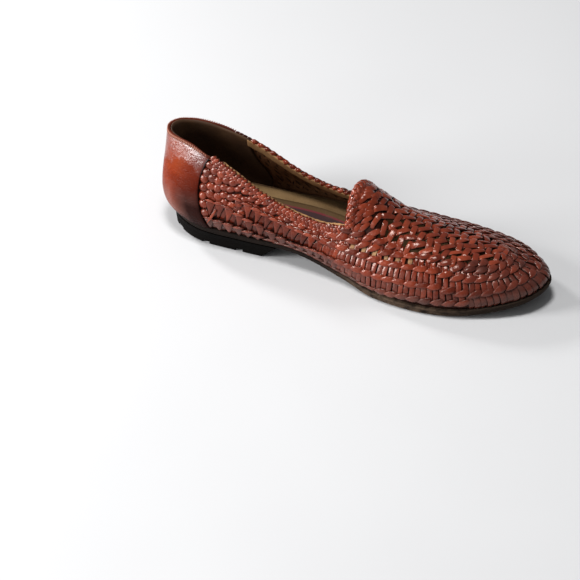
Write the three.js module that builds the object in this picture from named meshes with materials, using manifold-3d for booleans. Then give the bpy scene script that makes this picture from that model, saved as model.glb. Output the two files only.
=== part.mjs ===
// Woven leather loafer, left foot, standing on its sole. Millimetres, +Z up, toe towards +X,
// inner side of the foot towards -Y. The last is worked out from one table of stations.
import * as THREE from "three";
import { mergeVertices } from "three/addons/utils/BufferGeometryUtils.js";
import Module from "manifold-3d";

const wasm = await Module();
wasm.setup();

// Driving dimensions
const GAP = 0.3; // between pieces that are glued or sewn together
const WALL = 2.0; // woven upper, strip over strip
const LEAF_RISE = 1.1; // height of a twined row over the wall
const STRIP_RISE = 0.55; // height of the standing strips between the rows
const THROAT_ROLL = 1.6; // extra height of the braided roll along the throat
const THROAT_ROLL_SHARE = 0.12; // of the vamp's length that the roll takes
const THROAT_LEAN = 1.5; // the throat's edge leans this far towards the toe
const TWINED_ROWS = 4; // rows between the sole and the rim
const BACK_COLUMNS = 44; // each side, throat corner to the back of the heel, two to a leaf
const FRONT_COLUMNS = 36; // each side, throat corner to the toe
const VAMP_ACROSS = 12; // facets across the middle of the vamp
const LINING_ROWS = 4; // facets up the inside of the wall
const LINING_ACROSS = 6; // facets across the inside of the vamp
const SLOT_ALONG = 1.7; // gaps of the open-worked vamp
const SLOT_ACROSS = 3.4;
const SLOT_COLUMNS = { first: 51, last: 71, step: 2 };
const COUNTER_SKIN = 1.3; // smooth leather panel round the heel
const COUNTER_FOOT = 0.03; // share of the wall left bare under it
const TAPE_DEPTH = 4.5; // tape sewn inside the top line
const TAPE_THICK = 0.8;
const TAPE_BELOW_RIM = 0.4;
const SOLE_MARGIN = 0.5; // the sole's edge outside the feather line
const SOLE_EDGE_STEP = 0.7; // the lip along the top of the sole's edge stands out by this
const SOLE_LIP = 1.5; // height of that lip
const SOLE_BEVEL = 1.0; // rounding of the edge at the floor
const HEEL_FLARE = 0.4; // heel block beyond the feather line, at its top
const HEEL_TAPER = 1.0; // the heel draws in by this towards the floor
const HEEL_BREAST_FOOT = 73; // where the slanted breast of the heel meets the floor
const HEEL_BREAST_TOP = 83;
const LUG_GROOVES = [13, 35, 58]; // places of the grooves across the tread of the heel
const LUG_GROOVE_WIDTH = 5;
const LUG_GROOVE_DEPTH = 2;
const INSOLE_THICK = 2.2;
const INSOLE_CLEAR = 0.4; // extra room beside the wall
const SOCK_MARGIN = 3.2; // brown edge of the insole left showing round the sock
const SOCK_THICK = 0.9;
const INLAY_THICK = 0.5; // striped ribbon on the sock
const INLAY_WIDTH = 24;
const INLAY_BACK = 17;
const INLAY_FRONT = 132;

// The last: a row for each station from the back of the heel to the toe tip.
// foot: the feather line where the upper meets the sole. rim: the collar as far as the throat
// corner, then the edge of the open-worked middle of the vamp. In is the inner side of the foot.
// bulge, rise: how the wall swells out and up from the foot. lean, drop: how it comes in to the rim.
// crestIn, crestOut: how far the vamp domes over the rim on each side. tread: underside of the sole.
// sole: its thickness.
const COLUMNS = [
  "footX", "footIn", "footOut", "rimX", "rimIn", "rimOut", "rimInZ", "rimOutZ",
  "bulge", "rise", "lean", "drop", "crestIn", "crestOut", "tread", "sole",
];
const STATIONS = [
  [3.5, 0, 0, -1, 0, 0, 65.5, 65.5, 12, 7, 2, 30, 0, 0, 9.3, 4.4],
  [9.5, -15.5, 15.5, 4.5, -9, 9.5, 65.2, 64.5, 11, 7, 3.5, 22, 0, 0, 9.3, 4.4],
  [30, -27, 26.5, 22, -14.5, 16.5, 64.2, 61, 8, 9, 5.5, 17, 0, 0, 9.3, 4.4],
  [62, -27.5, 29.5, 50, -21, 21, 55.5, 51, 7, 11, 4, 18, 0, 0, 9.3, 4.2],
  [97, -26, 33.5, 82, -23, 21.5, 41, 36.5, 6, 12, 4, 12, 0, 0, 8.7, 3.8],
  [130, -30.5, 40, 111, -23, 22.5, 34.5, 29.5, 5, 11, 4, 10, 0, 0, 2.6, 4.4],
  [154, -38, 45, 130, -23, 24, 36.5, 29.5, 4, 10, 4, 11, 37, 21, 0, 5],
  [180, -40.5, 46, 157, -25, 26, 35, 24.5, 3.5, 9, 7, 8, 19, 13, 0, 5],
  [206, -37, 42, 186, -25, 26, 32.5, 23.5, 3, 8, 10, 6, 10, 8, 0.9, 5],
  [230, -27, 31.5, 208, -20, 21.5, 30.5, 24, 2.5, 8, 12, 4.5, 5, 4, 4.3, 4.8],
  [248, -13, 17.5, 223, -10.5, 12, 28.5, 25.5, 2.5, 8, 12, 4, 2, 2, 8.2, 4.5],
  [254.5, 4, 4, 228, 1.5, 1.5, 27.5, 27.5, 2.5, 8, 12, 4, 0, 0, 9.9, 4.5],
];
const LAST_STATION = STATIONS.length - 1;
const LOOP = 2 * LAST_STATION; // stations round the shoe, the outer side after the inner
const THROAT_STATION = 6;
const COUNTER_SEAM = { foot: 2.36, middle: 1.95, rim: 2.52 }; // stations of the seam, sole to collar
const SEAM_CLEAR = 0.13; // stations left smooth beside the seam

// The shape of the last

// A column read round the whole shoe: inner side, toe, outer side.
function loopColumn(inner, outer) {
  const inward = STATIONS.map((row) => row[COLUMNS.indexOf(inner)]);
  const outward = STATIONS.map((row) => row[COLUMNS.indexOf(outer)]);
  return [...inward, ...outward.slice(1, -1).reverse()];
}

const FOOT_X = loopColumn("footX", "footX");
const FOOT_Y = loopColumn("footIn", "footOut");
const RIM_X = loopColumn("rimX", "rimX");
const RIM_Y = loopColumn("rimIn", "rimOut");
const RIM_Z = loopColumn("rimInZ", "rimOutZ");
const BULGE = loopColumn("bulge", "bulge");
const RISE = loopColumn("rise", "rise");
const LEAN = loopColumn("lean", "lean");
const DROP = loopColumn("drop", "drop");
const CREST_IN = loopColumn("crestIn", "crestIn");
const CREST_OUT = loopColumn("crestOut", "crestOut");
const TREAD = loopColumn("tread", "tread");
const SOLE = loopColumn("sole", "sole");

// Smooth value of a loop column at station t, by a closed cubic through its rows.
function ring(column, t) {
  const size = column.length;
  const i = Math.floor(t);
  const f = t - i;
  const at = (k) => column[(((i + k) % size) + size) % size];
  const [a, b, c, d] = [at(-1), at(0), at(1), at(2)];
  return b + 0.5 * f * (c - a + f * (2 * a - 5 * b + 4 * c - d + f * (3 * (b - c) + d - a)));
}

const treadHeight = (t) => Math.max(0, ring(TREAD, t));
const footHeight = (t) => treadHeight(t) + ring(SOLE, t) + GAP;
const footPoint = (t) => new THREE.Vector3(ring(FOOT_X, t), ring(FOOT_Y, t), footHeight(t));
const rimPoint = (t) => new THREE.Vector3(ring(RIM_X, t), ring(RIM_Y, t), ring(RIM_Z, t));

// Level direction that points out of the shoe at station t.
function outward(t) {
  const step = 0.02;
  const along = footPoint(t + step).sub(footPoint(t - step));
  return new THREE.Vector3(along.y, -along.x, 0).normalize();
}

// A point of the upper's wall at station t, from the sole (w = 0) to the rim (w = 1).
function wallPoint(t, w) {
  const foot = footPoint(t);
  const rim = rimPoint(t);
  const out = outward(t);
  const swell = foot.clone().addScaledVector(out, ring(BULGE, t));
  swell.z += ring(RISE, t);
  const shoulder = rim.clone().addScaledVector(out, ring(LEAN, t));
  shoulder.z -= ring(DROP, t);
  return new THREE.CubicBezierCurve3(foot, swell, shoulder, rim).getPoint(w);
}

function crossNormal(alongA, alongB) {
  return alongA.cross(alongB).normalize();
}

function wallNormal(t, w) {
  const step = 0.02;
  const along = wallPoint(t + step, w).sub(wallPoint(t - step, w));
  const up = wallPoint(t, Math.min(1, w + step)).sub(wallPoint(t, Math.max(0, w - step)));
  return crossNormal(along, up);
}

const wallAt = (t, w, offset) => wallPoint(t, w).addScaledVector(wallNormal(t, w), offset);

// Stations from one to another, spaced evenly along the feather line.
function evenStations(from, to, count) {
  const samples = 400;
  const lengths = [0];
  for (let i = 1; i <= samples; i++) {
    const a = footPoint(from + ((to - from) * (i - 1)) / samples);
    const b = footPoint(from + ((to - from) * i) / samples);
    lengths.push(lengths[i - 1] + a.distanceTo(b));
  }
  const stations = [];
  for (let k = 0, i = 0; k <= count; k++) {
    const goal = (lengths[samples] * k) / count;
    while (i < samples - 1 && lengths[i + 1] < goal) i++;
    const share = (goal - lengths[i]) / (lengths[i + 1] - lengths[i]);
    stations.push(from + ((to - from) * (i + share)) / samples);
  }
  return stations;
}

const IN_BACK = evenStations(0, THROAT_STATION, BACK_COLUMNS);
const IN_FRONT = evenStations(THROAT_STATION, LAST_STATION, FRONT_COLUMNS);
const OUT_BACK = evenStations(LOOP, LOOP - THROAT_STATION, BACK_COLUMNS);
const OUT_FRONT = evenStations(LOOP - THROAT_STATION, LAST_STATION, FRONT_COLUMNS);
const IN_STATIONS = [...IN_BACK, ...IN_FRONT.slice(1)];
const OUT_STATIONS = [...OUT_BACK, ...OUT_FRONT.slice(1)];
const SIDE_COLUMNS = BACK_COLUMNS + FRONT_COLUMNS;

const DOME_SHARE = 0.28; // of the width, where the vamp's dome is at its steepest

// A point of the vamp's middle on column c, from the inner rim (q = 0) to the outer (q = 1).
function vampPoint(c, q) {
  const inner = rimPoint(stationAt(IN_STATIONS, c));
  const outer = rimPoint(stationAt(OUT_STATIONS, c));
  const across = outer.clone().sub(inner);
  const near = inner.clone().addScaledVector(across, DOME_SHARE);
  const far = outer.clone().addScaledVector(across, -DOME_SHARE);
  near.z += ring(CREST_IN, stationAt(IN_STATIONS, c));
  far.z += ring(CREST_OUT, stationAt(IN_STATIONS, c));
  const point = new THREE.CubicBezierCurve3(inner, near, far, outer).getPoint(q);
  point.x += throatSlope(c) * 4 * q * (1 - q);
  return point;
}

// The throat's edge leans towards the toe at its top, and the lean dies out along the vamp.
function throatSlope(c) {
  const share = (c - BACK_COLUMNS) / FRONT_COLUMNS;
  return THROAT_LEAN * (1 - share) ** 2;
}

function stationAt(stations, c) {
  const i = Math.min(stations.length - 2, Math.max(0, Math.floor(c)));
  return stations[i] + (stations[i + 1] - stations[i]) * (c - i);
}

function vampNormal(c, q) {
  const step = 0.05;
  const along = vampPoint(c + step, q).sub(vampPoint(c - step, q));
  const across = vampPoint(c, Math.min(1, q + step)).sub(vampPoint(c, Math.max(0, q - step)));
  return crossNormal(along, across);
}

const vampAt = (c, q, offset) => vampPoint(c, q).addScaledVector(vampNormal(c, q), offset);

// Solids

function solidFrom(points, triangles) {
  const vertProperties = new Float32Array(points.flatMap((p) => [p.x, p.y, p.z]));
  const triVerts = new Uint32Array(triangles.flat());
  return new wasm.Manifold(new wasm.Mesh({ numProp: 3, vertProperties, triVerts }));
}

function geometryFrom(solid) {
  const mesh = solid.getMesh();
  const geometry = new THREE.BufferGeometry();
  geometry.setAttribute("position", new THREE.BufferAttribute(mesh.vertProperties, 3));
  geometry.setIndex(new THREE.BufferAttribute(mesh.triVerts, 1));
  return geometry;
}

function solidFromGeometry(geometry) {
  const bare = geometry.clone();
  bare.deleteAttribute("normal");
  bare.deleteAttribute("uv");
  const merged = mergeVertices(bare, 1e-4);
  const vertProperties = merged.attributes.position.array;
  const triVerts = new Uint32Array(merged.index.array);
  return new wasm.Manifold(new wasm.Mesh({ numProp: 3, vertProperties, triVerts }));
}

// Triangles of the strip between two rows of vertex numbers, leaving out those with no area.
function strip(rowA, rowB) {
  const triangles = [];
  for (let k = 0; k + 1 < rowA.length; k++) {
    triangles.push([rowA[k], rowA[k + 1], rowB[k + 1]], [rowA[k], rowB[k + 1], rowB[k]]);
  }
  return triangles.filter(([a, b, c]) => a !== b && b !== c && c !== a);
}

// A closed form of the last. wallOffset(t, i, j) and vampOffset(c, q) are distances out of the last.
// With chimney set, the form runs up out of the collar to that height and down past the sole by drain.
function lastForm({ rows, facets, wallOffset, vampOffset, chimney = 0, drain = 0, trim = 0 }) {
  const points = [];
  const add = (p) => points.push(p) - 1;
  const columns = Array.from({ length: SIDE_COLUMNS + 1 }, (_, c) => c);
  const walls = [IN_STATIONS, OUT_STATIONS].map((stations, side) =>
    columns.map((c, i) => {
      const shared = side === 1 && (i === 0 || i === columns.length - 1);
      if (shared) return null;
      const t = stations[c];
      const column = [];
      if (drain) {
        const low = wallAt(t, 0, wallOffset(t, c, 0));
        low.z -= drain;
        column.push(add(low));
      }
      for (let j = 0; j <= rows; j++) column.push(add(wallAt(t, j / rows, wallOffset(t, c, j))));
      if (chimney && c <= BACK_COLUMNS) {
        const high = points[column.at(-1)].clone();
        high.z = chimney;
        if (c === BACK_COLUMNS) high.x += trim;
        column.push(add(high));
      }
      return column;
    }),
  );
  const [inWall, outWall] = walls;
  outWall[0] = inWall[0];
  outWall[columns.length - 1] = inWall.at(-1);
  const triangles = [];
  const bodyRows = rows + 1 + (drain ? 1 : 0);
  for (let i = 0; i + 1 < columns.length; i++) {
    const high = chimney && columns[i + 1] <= BACK_COLUMNS ? bodyRows + 1 : bodyRows;
    triangles.push(...strip(inWall[i].slice(0, high), inWall[i + 1].slice(0, high)).map(turned));
    triangles.push(...strip(outWall[i].slice(0, high), outWall[i + 1].slice(0, high)));
  }
  const soleRow = (i) => [inWall[i][0], outWall[i][0]];
  const capEnd = (column) => column.at(-1);
  const rimEnd = (column) => column[bodyRows - 1];
  const across = (from, to, pointAt) => {
    const row = [from];
    for (let k = 1; k < facets; k++) row.push(add(pointAt(k / facets)));
    return [...row, to];
  };
  const topRows = [];
  columns.forEach((c, i) => {
    const inner = inWall[i];
    const outer = outWall[i];
    if (i === 0) topRows.push(new Array(facets + 1).fill(capEnd(inner)));
    if (i > 0 && c <= BACK_COLUMNS) {
      const a = points[capEnd(inner)];
      const b = points[capEnd(outer)];
      const lid = (q) => {
        const p = a.clone().lerp(b, q);
        if (c === BACK_COLUMNS && chimney) p.x += throatSlope(c) * 4 * q * (1 - q);
        return p;
      };
      topRows.push(across(capEnd(inner), capEnd(outer), lid));
    }
    if (c >= BACK_COLUMNS && i < columns.length - 1) {
      const dome = (q) => {
        const p = vampAt(c, q, vampOffset(c, q));
        if (c === BACK_COLUMNS) p.x += trim;
        return p;
      };
      topRows.push(across(rimEnd(inner), rimEnd(outer), dome));
    }
    if (i === columns.length - 1) topRows.push(new Array(facets + 1).fill(rimEnd(inner)));
  });
  for (let r = 0; r + 1 < topRows.length; r++) {
    triangles.push(...strip(topRows[r], topRows[r + 1]).map(turned));
  }
  for (let i = 0; i + 1 < columns.length; i++) triangles.push(...strip(soleRow(i), soleRow(i + 1)));
  return solidFrom(points, triangles);
}

const turned = ([a, b, c]) => [a, c, b];

// A closed patch of the wall between two offsets. place(a, b) gives the station and the height of
// a point, both shares running from 0 to 1 over the patch.
function wallPatch({ place, columns, rows, inside, outside }) {
  const points = [];
  const layer = (offset) =>
    Array.from({ length: rows + 1 }, (_, j) =>
      Array.from({ length: columns + 1 }, (_, i) => {
        const [t, w] = place(i / columns, j / rows);
        return points.push(wallAt(t, w, offset)) - 1;
      }),
    );
  const inner = layer(inside);
  const outer = layer(outside);
  const triangles = [];
  for (let j = 0; j < rows; j++) {
    triangles.push(...strip(outer[j], outer[j + 1]));
    triangles.push(...strip(inner[j], inner[j + 1]).map(turned));
  }
  const start = (layerRows) => layerRows.map((row) => row[0]);
  const end = (layerRows) => layerRows.map((row) => row.at(-1));
  triangles.push(...strip(inner[0], outer[0]));
  triangles.push(...strip(outer.at(-1), inner.at(-1)));
  triangles.push(...strip(start(outer), start(inner)));
  triangles.push(...strip(end(inner), end(outer)));
  return solidFrom(points, triangles);
}

// A closed slab from rings of points round the shoe, lowest first.
function slabFromRings(rings) {
  const points = rings.flat();
  const size = rings[0].length;
  const number = (r, i) => r * size + (i % size);
  const row = (r) => Array.from({ length: size + 1 }, (_, i) => number(r, i));
  const triangles = [];
  for (let r = 0; r + 1 < rings.length; r++) triangles.push(...strip(row(r), row(r + 1)));
  const half = size / 2;
  for (let i = 0; i < half; i++) {
    const pair = (r, k) => [number(r, k), number(r, size - k)];
    triangles.push(...strip(pair(0, i), pair(0, i + 1)));
    triangles.push(...strip(pair(rings.length - 1, i), pair(rings.length - 1, i + 1)).map(turned));
  }
  return solidFrom(points, triangles);
}

// A block with its middle at a point, its depth along one direction and its width along another.
function blockAt(middle, depthWay, widthWay, depth, width, length) {
  const lengthWay = depthWay.clone().cross(widthWay).normalize();
  const squareWidth = lengthWay.clone().cross(depthWay);
  const block = new THREE.BoxGeometry(width, length, depth);
  block.applyMatrix4(new THREE.Matrix4().makeBasis(squareWidth, lengthWay, depthWay).setPosition(middle));
  return solidFromGeometry(block);
}

// The pieces

// Station of the seam in front of the counter at height w of the wall.
function seamStation(w) {
  const { foot, middle, rim } = COUNTER_SEAM;
  return (1 - w) ** 2 * foot + 2 * w * (1 - w) * middle + w ** 2 * rim;
}

// Relief of the weave: twined rows stand highest, leaf by leaf, with standing strips between them.
function weaveRelief(t, c, j) {
  const fromHeel = Math.min(t, LOOP - t);
  const smooth = j === 0 || fromHeel < seamStation(j / (2 * TWINED_ROWS)) + SEAM_CLEAR;
  if (smooth) return 0;
  const raised = (c + (j >> 1)) % 2 === 0;
  if (j % 2 === 1) return raised ? LEAF_RISE : LEAF_RISE / 2;
  return raised ? STRIP_RISE : 0;
}

// Over the vamp's middle, strips pass over and under one another, with a roll along the throat.
function vampRelief(c, q) {
  const share = (c - BACK_COLUMNS) / FRONT_COLUMNS;
  const roll = share < THROAT_ROLL_SHARE ? THROAT_ROLL * (1 - (share / THROAT_ROLL_SHARE) ** 2) : 0;
  const raised = (c + Math.round(q * VAMP_ACROSS)) % 2 === 0;
  return roll + (raised ? STRIP_RISE : 0);
}

// Gaps of the open work, in rows that are staggered from one column to the next.
function vampSlots() {
  const slots = [];
  for (let c = SLOT_COLUMNS.first; c <= SLOT_COLUMNS.last; c += SLOT_COLUMNS.step) {
    const places = c % 4 === 1 ? [2, 6, 10] : [4, 8];
    for (const place of places) {
      const q = place / VAMP_ACROSS;
      const along = vampPoint(c + 0.5, q).sub(vampPoint(c - 0.5, q)).normalize();
      slots.push(blockAt(vampPoint(c, q), vampNormal(c, q), along, 5 * WALL, SLOT_ALONG, SLOT_ACROSS));
    }
  }
  return slots;
}

function upperSolid() {
  const outer = lastForm({
    rows: 2 * TWINED_ROWS,
    facets: VAMP_ACROSS,
    wallOffset: weaveRelief,
    vampOffset: vampRelief,
  });
  const inner = lastForm({
    rows: LINING_ROWS,
    facets: LINING_ACROSS,
    wallOffset: () => -WALL,
    vampOffset: () => -WALL,
    chimney: 110,
    drain: 12,
    trim: 1,
  });
  return vampSlots().reduce((wall, slot) => wall.subtract(slot), outer.subtract(inner));
}

function counterSolid() {
  return wallPatch({
    place: (a, b) => {
      const w = COUNTER_FOOT + (1 - COUNTER_FOOT) * b;
      return [(2 * a - 1) * seamStation(w), w];
    },
    columns: 30,
    rows: 8,
    inside: GAP,
    outside: GAP + COUNTER_SKIN,
  });
}

function wallHeight(t) {
  const samples = 12;
  let height = 0;
  for (let i = 0; i < samples; i++) {
    height += wallPoint(t, i / samples).distanceTo(wallPoint(t, (i + 1) / samples));
  }
  return height;
}

function tapeSolid() {
  const reach = THROAT_STATION - 0.15;
  return wallPatch({
    place: (a, b) => {
      const t = (2 * a - 1) * reach;
      return [t, 1 - (TAPE_BELOW_RIM + TAPE_DEPTH * (1 - b)) / wallHeight(t)];
    },
    columns: 56,
    rows: 1,
    inside: -WALL - GAP - TAPE_THICK,
    outside: -WALL - GAP,
  });
}

// Evenly spaced stations all round the shoe, symmetric about the heel and the toe.
const ROUND = [...IN_STATIONS.filter((_, i) => i % 2 === 0)];
const ROUND_OUT = OUT_STATIONS.filter((_, i) => i % 2 === 0).slice(1, -1).reverse();
const SOLE_STATIONS = [...ROUND, ...ROUND_OUT];

function soleRing(margin, heightAt) {
  return SOLE_STATIONS.map((t) => {
    const p = footPoint(t).addScaledVector(outward(t), margin);
    p.z = heightAt(t);
    return p;
  });
}

function outsoleSolid() {
  const top = (t) => footHeight(t) - GAP;
  const lip = (t) => top(t) - SOLE_LIP;
  const lipEdge = SOLE_MARGIN + SOLE_EDGE_STEP;
  return slabFromRings([
    soleRing(SOLE_MARGIN - SOLE_BEVEL, treadHeight),
    soleRing(SOLE_MARGIN, (t) => treadHeight(t) + SOLE_BEVEL),
    soleRing(SOLE_MARGIN, (t) => lip(t) - SOLE_EDGE_STEP / 2),
    soleRing(lipEdge, lip),
    soleRing(lipEdge, top),
  ]);
}

function heelSolid() {
  const top = (t) => treadHeight(t) - GAP;
  const whole = slabFromRings([
    soleRing(HEEL_FLARE - HEEL_TAPER, () => 0),
    soleRing(HEEL_FLARE, (t) => Math.max(1, top(t))),
  ]);
  const height = top(0);
  const run = HEEL_BREAST_TOP - HEEL_BREAST_FOOT;
  const breastFace = new THREE.Vector3(height, 0, -run).normalize();
  const breastUp = new THREE.Vector3(run, 0, height).normalize();
  const far = 2 * STATIONS.at(-1)[0];
  const middle = new THREE.Vector3(HEEL_BREAST_FOOT, 0, 0).addScaledVector(breastFace, far / 2);
  const ahead = blockAt(middle, breastFace, breastUp, far, far, far);
  const grooves = LUG_GROOVES.map((x) =>
    blockAt(
      new THREE.Vector3(x, 0, 0),
      new THREE.Vector3(0, 0, 1),
      new THREE.Vector3(1, 0, 0),
      2 * LUG_GROOVE_DEPTH,
      LUG_GROOVE_WIDTH,
      far,
    ),
  );
  return grooves.reduce((block, groove) => block.subtract(groove), whole.subtract(ahead));
}

const INSOLE_EDGE = -WALL - GAP - INSOLE_CLEAR;
const insoleTop = (t) => footHeight(t) + INSOLE_THICK;
const sockTop = (t) => insoleTop(t) + GAP + SOCK_THICK;

function insoleSolid() {
  return slabFromRings([soleRing(INSOLE_EDGE, footHeight), soleRing(INSOLE_EDGE, insoleTop)]);
}

function sockSolid() {
  const edge = INSOLE_EDGE - SOCK_MARGIN;
  return slabFromRings([soleRing(edge, (t) => insoleTop(t) + GAP), soleRing(edge, sockTop)]);
}

// The ribbon runs along the middle of the sock, between two places on its length.
function inlaySolid() {
  const edge = soleRing(INSOLE_EDGE - SOCK_MARGIN, (t) => sockTop(t) + GAP);
  const points = [];
  const add = (p, rise) => points.push(new THREE.Vector3(p.x, p.y, p.z + rise)) - 1;
  const rows = [];
  for (let i = 1; i < edge.length / 2; i++) {
    const inner = edge[i];
    const outer = edge[edge.length - i];
    const middle = inner.clone().lerp(outer, 0.5);
    if (middle.x < INLAY_BACK || middle.x > INLAY_FRONT) continue;
    const half = outer.clone().sub(inner).setLength(INLAY_WIDTH / 2);
    const left = middle.clone().add(half);
    const right = middle.clone().sub(half);
    const row = [add(right, 0), add(left, 0), add(left, INLAY_THICK), add(right, INLAY_THICK)];
    rows.push([...row, row[0]]);
  }
  const triangles = rows.slice(1).flatMap((row, i) => strip(rows[i], row));
  const [first, last] = [rows[0], rows.at(-1)];
  triangles.push(...strip([first[3], first[2]], [first[0], first[1]]));
  triangles.push(...strip([last[0], last[1]], [last[3], last[2]]));
  return solidFrom(points, triangles);
}

const matter = (color, roughness) => new THREE.MeshStandardMaterial({ color, roughness, metalness: 0 });

const shoe = new THREE.Group();
function piece(name, solid, material) {
  const mesh = new THREE.Mesh(geometryFrom(solid), material);
  mesh.name = name;
  shoe.add(mesh);
}

piece("upper", upperSolid(), matter(0x7a3120, 0.38));
piece("counter", counterSolid(), matter(0x86361f, 0.3));
piece("topline_tape", tapeSolid(), matter(0xb88a55, 0.8));
piece("outsole", outsoleSolid(), matter(0x2c231d, 0.75));
piece("heel_block", heelSolid(), matter(0x1d1a18, 0.8));
piece("insole", insoleSolid(), matter(0x4a2218, 0.6));
piece("sock", sockSolid(), matter(0xb59a6c, 0.7));
piece("sock_inlay", inlaySolid(), matter(0x3a2430, 0.85));

// The middle of the shoe's foot-print is the origin, at floor height.
const bounds = new THREE.Box3().setFromObject(shoe);
const middle = bounds.getCenter(new THREE.Vector3());
shoe.position.set(-middle.x, -middle.y, -bounds.min.z);

export default shoe;
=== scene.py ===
"""Woven leather loafer for the left foot, standing on its sole. Metres, +Z up, toe towards +X,
inner side of the foot towards -Y. Sizes in the functions are millimetres on the last."""

import bpy
import numpy as np
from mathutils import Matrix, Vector


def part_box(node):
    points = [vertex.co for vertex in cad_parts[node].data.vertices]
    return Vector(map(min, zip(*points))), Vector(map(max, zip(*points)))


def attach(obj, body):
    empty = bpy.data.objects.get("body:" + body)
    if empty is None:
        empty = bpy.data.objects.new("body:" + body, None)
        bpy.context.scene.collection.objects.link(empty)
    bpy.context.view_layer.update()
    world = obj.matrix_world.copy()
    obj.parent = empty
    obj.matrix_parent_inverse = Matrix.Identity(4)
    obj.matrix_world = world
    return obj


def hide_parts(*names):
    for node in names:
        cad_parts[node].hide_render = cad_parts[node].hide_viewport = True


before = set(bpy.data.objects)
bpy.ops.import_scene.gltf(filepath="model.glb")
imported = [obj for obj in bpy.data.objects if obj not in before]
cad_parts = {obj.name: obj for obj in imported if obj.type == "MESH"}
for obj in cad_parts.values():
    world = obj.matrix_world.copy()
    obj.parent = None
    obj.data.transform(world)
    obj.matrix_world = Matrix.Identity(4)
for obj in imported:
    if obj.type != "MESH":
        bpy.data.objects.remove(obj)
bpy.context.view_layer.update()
luck = np.random.default_rng(11)

# The last, as the solids have it: one row for each station from the heel to the toe tip.
COLUMNS = (
    "footX footIn footOut rimX rimIn rimOut rimInZ rimOutZ "
    "bulge rise lean drop crestIn crestOut tread sole"
).split()
STATIONS = np.array(
    [
        [3.5, 0, 0, -1, 0, 0, 65.5, 65.5, 12, 7, 2, 30, 0, 0, 9.3, 4.4],
        [9.5, -15.5, 15.5, 4.5, -9, 9.5, 65.2, 64.5, 11, 7, 3.5, 22, 0, 0, 9.3, 4.4],
        [30, -27, 26.5, 22, -14.5, 16.5, 64.2, 61, 8, 9, 5.5, 17, 0, 0, 9.3, 4.4],
        [62, -27.5, 29.5, 50, -21, 21, 55.5, 51, 7, 11, 4, 18, 0, 0, 9.3, 4.2],
        [97, -26, 33.5, 82, -23, 21.5, 41, 36.5, 6, 12, 4, 12, 0, 0, 8.7, 3.8],
        [130, -30.5, 40, 111, -23, 22.5, 34.5, 29.5, 5, 11, 4, 10, 0, 0, 2.6, 4.4],
        [154, -38, 45, 130, -23, 24, 36.5, 29.5, 4, 10, 4, 11, 37, 21, 0, 5],
        [180, -40.5, 46, 157, -25, 26, 35, 24.5, 3.5, 9, 7, 8, 19, 13, 0, 5],
        [206, -37, 42, 186, -25, 26, 32.5, 23.5, 3, 8, 10, 6, 10, 8, 0.9, 5],
        [230, -27, 31.5, 208, -20, 21.5, 30.5, 24, 2.5, 8, 12, 4.5, 5, 4, 4.3, 4.8],
        [248, -13, 17.5, 223, -10.5, 12, 28.5, 25.5, 2.5, 8, 12, 4, 2, 2, 8.2, 4.5],
        [254.5, 4, 4, 228, 1.5, 1.5, 27.5, 27.5, 2.5, 8, 12, 4, 0, 0, 9.9, 4.5],
    ]
)
LAST_STATION = len(STATIONS) - 1
LOOP = 2 * LAST_STATION
THROAT_STATION = 6
BACK_COLUMNS = 44  # of each side, behind the throat
FRONT_COLUMNS = 36  # and in front of it
SIDE_COLUMNS = BACK_COLUMNS + FRONT_COLUMNS
GAP = 0.3  # between one layer and the next
DOME_SHARE = 0.28  # of the vamp's width, where its sides bend over
THROAT_LEAN = 1.5
INSOLE_EDGE = -2.7  # out from the feather line
INSOLE_THICK = 2.2
SOCK_MARGIN = 3.2  # of insole left bare round the sock
SOCK_THICK = 0.9
RIBBON = {"back": 17, "front": 132, "width": 24, "thick": 0.5}
SOLE_LIP_EDGE = 1.2  # out from the feather line
TINY_STEP = 0.02  # of a station or of the wall, where a direction is taken
UP = np.array([0.0, 0.0, 1.0])


def loop_column(inner, outer):
    """A column of the table read round the whole shoe: inner side, toe, outer side."""
    near = STATIONS[:, COLUMNS.index(inner)]
    far = STATIONS[:, COLUMNS.index(outer)]
    return np.concatenate([near, far[1:-1][::-1]])


FOOT_X, FOOT_Y = loop_column("footX", "footX"), loop_column("footIn", "footOut")
RIM_X, RIM_Y = loop_column("rimX", "rimX"), loop_column("rimIn", "rimOut")
RIM_Z = loop_column("rimInZ", "rimOutZ")
BULGE, RISE, LEAN, DROP, CREST_IN, CREST_OUT, TREAD, SOLE = (
    loop_column(word, word)
    for word in ("bulge", "rise", "lean", "drop", "crestIn", "crestOut", "tread", "sole")
)


def ring(column, t):
    """Smooth value of a loop column at station t, by a closed cubic through its rows."""
    t = np.asarray(t, float)
    i = np.floor(t).astype(int)
    f = t - i
    a, b, c, d = (column[(i + k) % len(column)] for k in (-1, 0, 1, 2))
    return b + 0.5 * f * (c - a + f * (2 * a - 5 * b + 4 * c - d + f * (3 * (b - c) + d - a)))


def tread_height(t):
    return np.maximum(0, ring(TREAD, t))


def foot_height(t):
    return tread_height(t) + ring(SOLE, t) + GAP


def foot(t):
    return np.stack([ring(FOOT_X, t), ring(FOOT_Y, t), foot_height(t)], -1)


def rim(t):
    return np.stack([ring(RIM_X, t), ring(RIM_Y, t), ring(RIM_Z, t)], -1)


def unit(vectors):
    return vectors / np.maximum(np.linalg.norm(vectors, axis=-1, keepdims=True), 1e-9)


def lengths_along(points):
    """Lengths from the first point of each line, which runs along the last axis but one."""
    steps = np.linalg.norm(np.diff(points, axis=-2), axis=-1)
    return np.concatenate([np.zeros((*steps.shape[:-1], 1)), np.cumsum(steps, axis=-1)], axis=-1)


def grown(x, start, length):
    """0 up to start, then rising to 1 over the length."""
    return np.clip((x - start) / length, 0, 1)


def outward(t):
    along = foot(np.asarray(t) + TINY_STEP) - foot(np.asarray(t) - TINY_STEP)
    return unit(np.stack([along[..., 1], -along[..., 0], 0 * along[..., 0]], -1))


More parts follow.
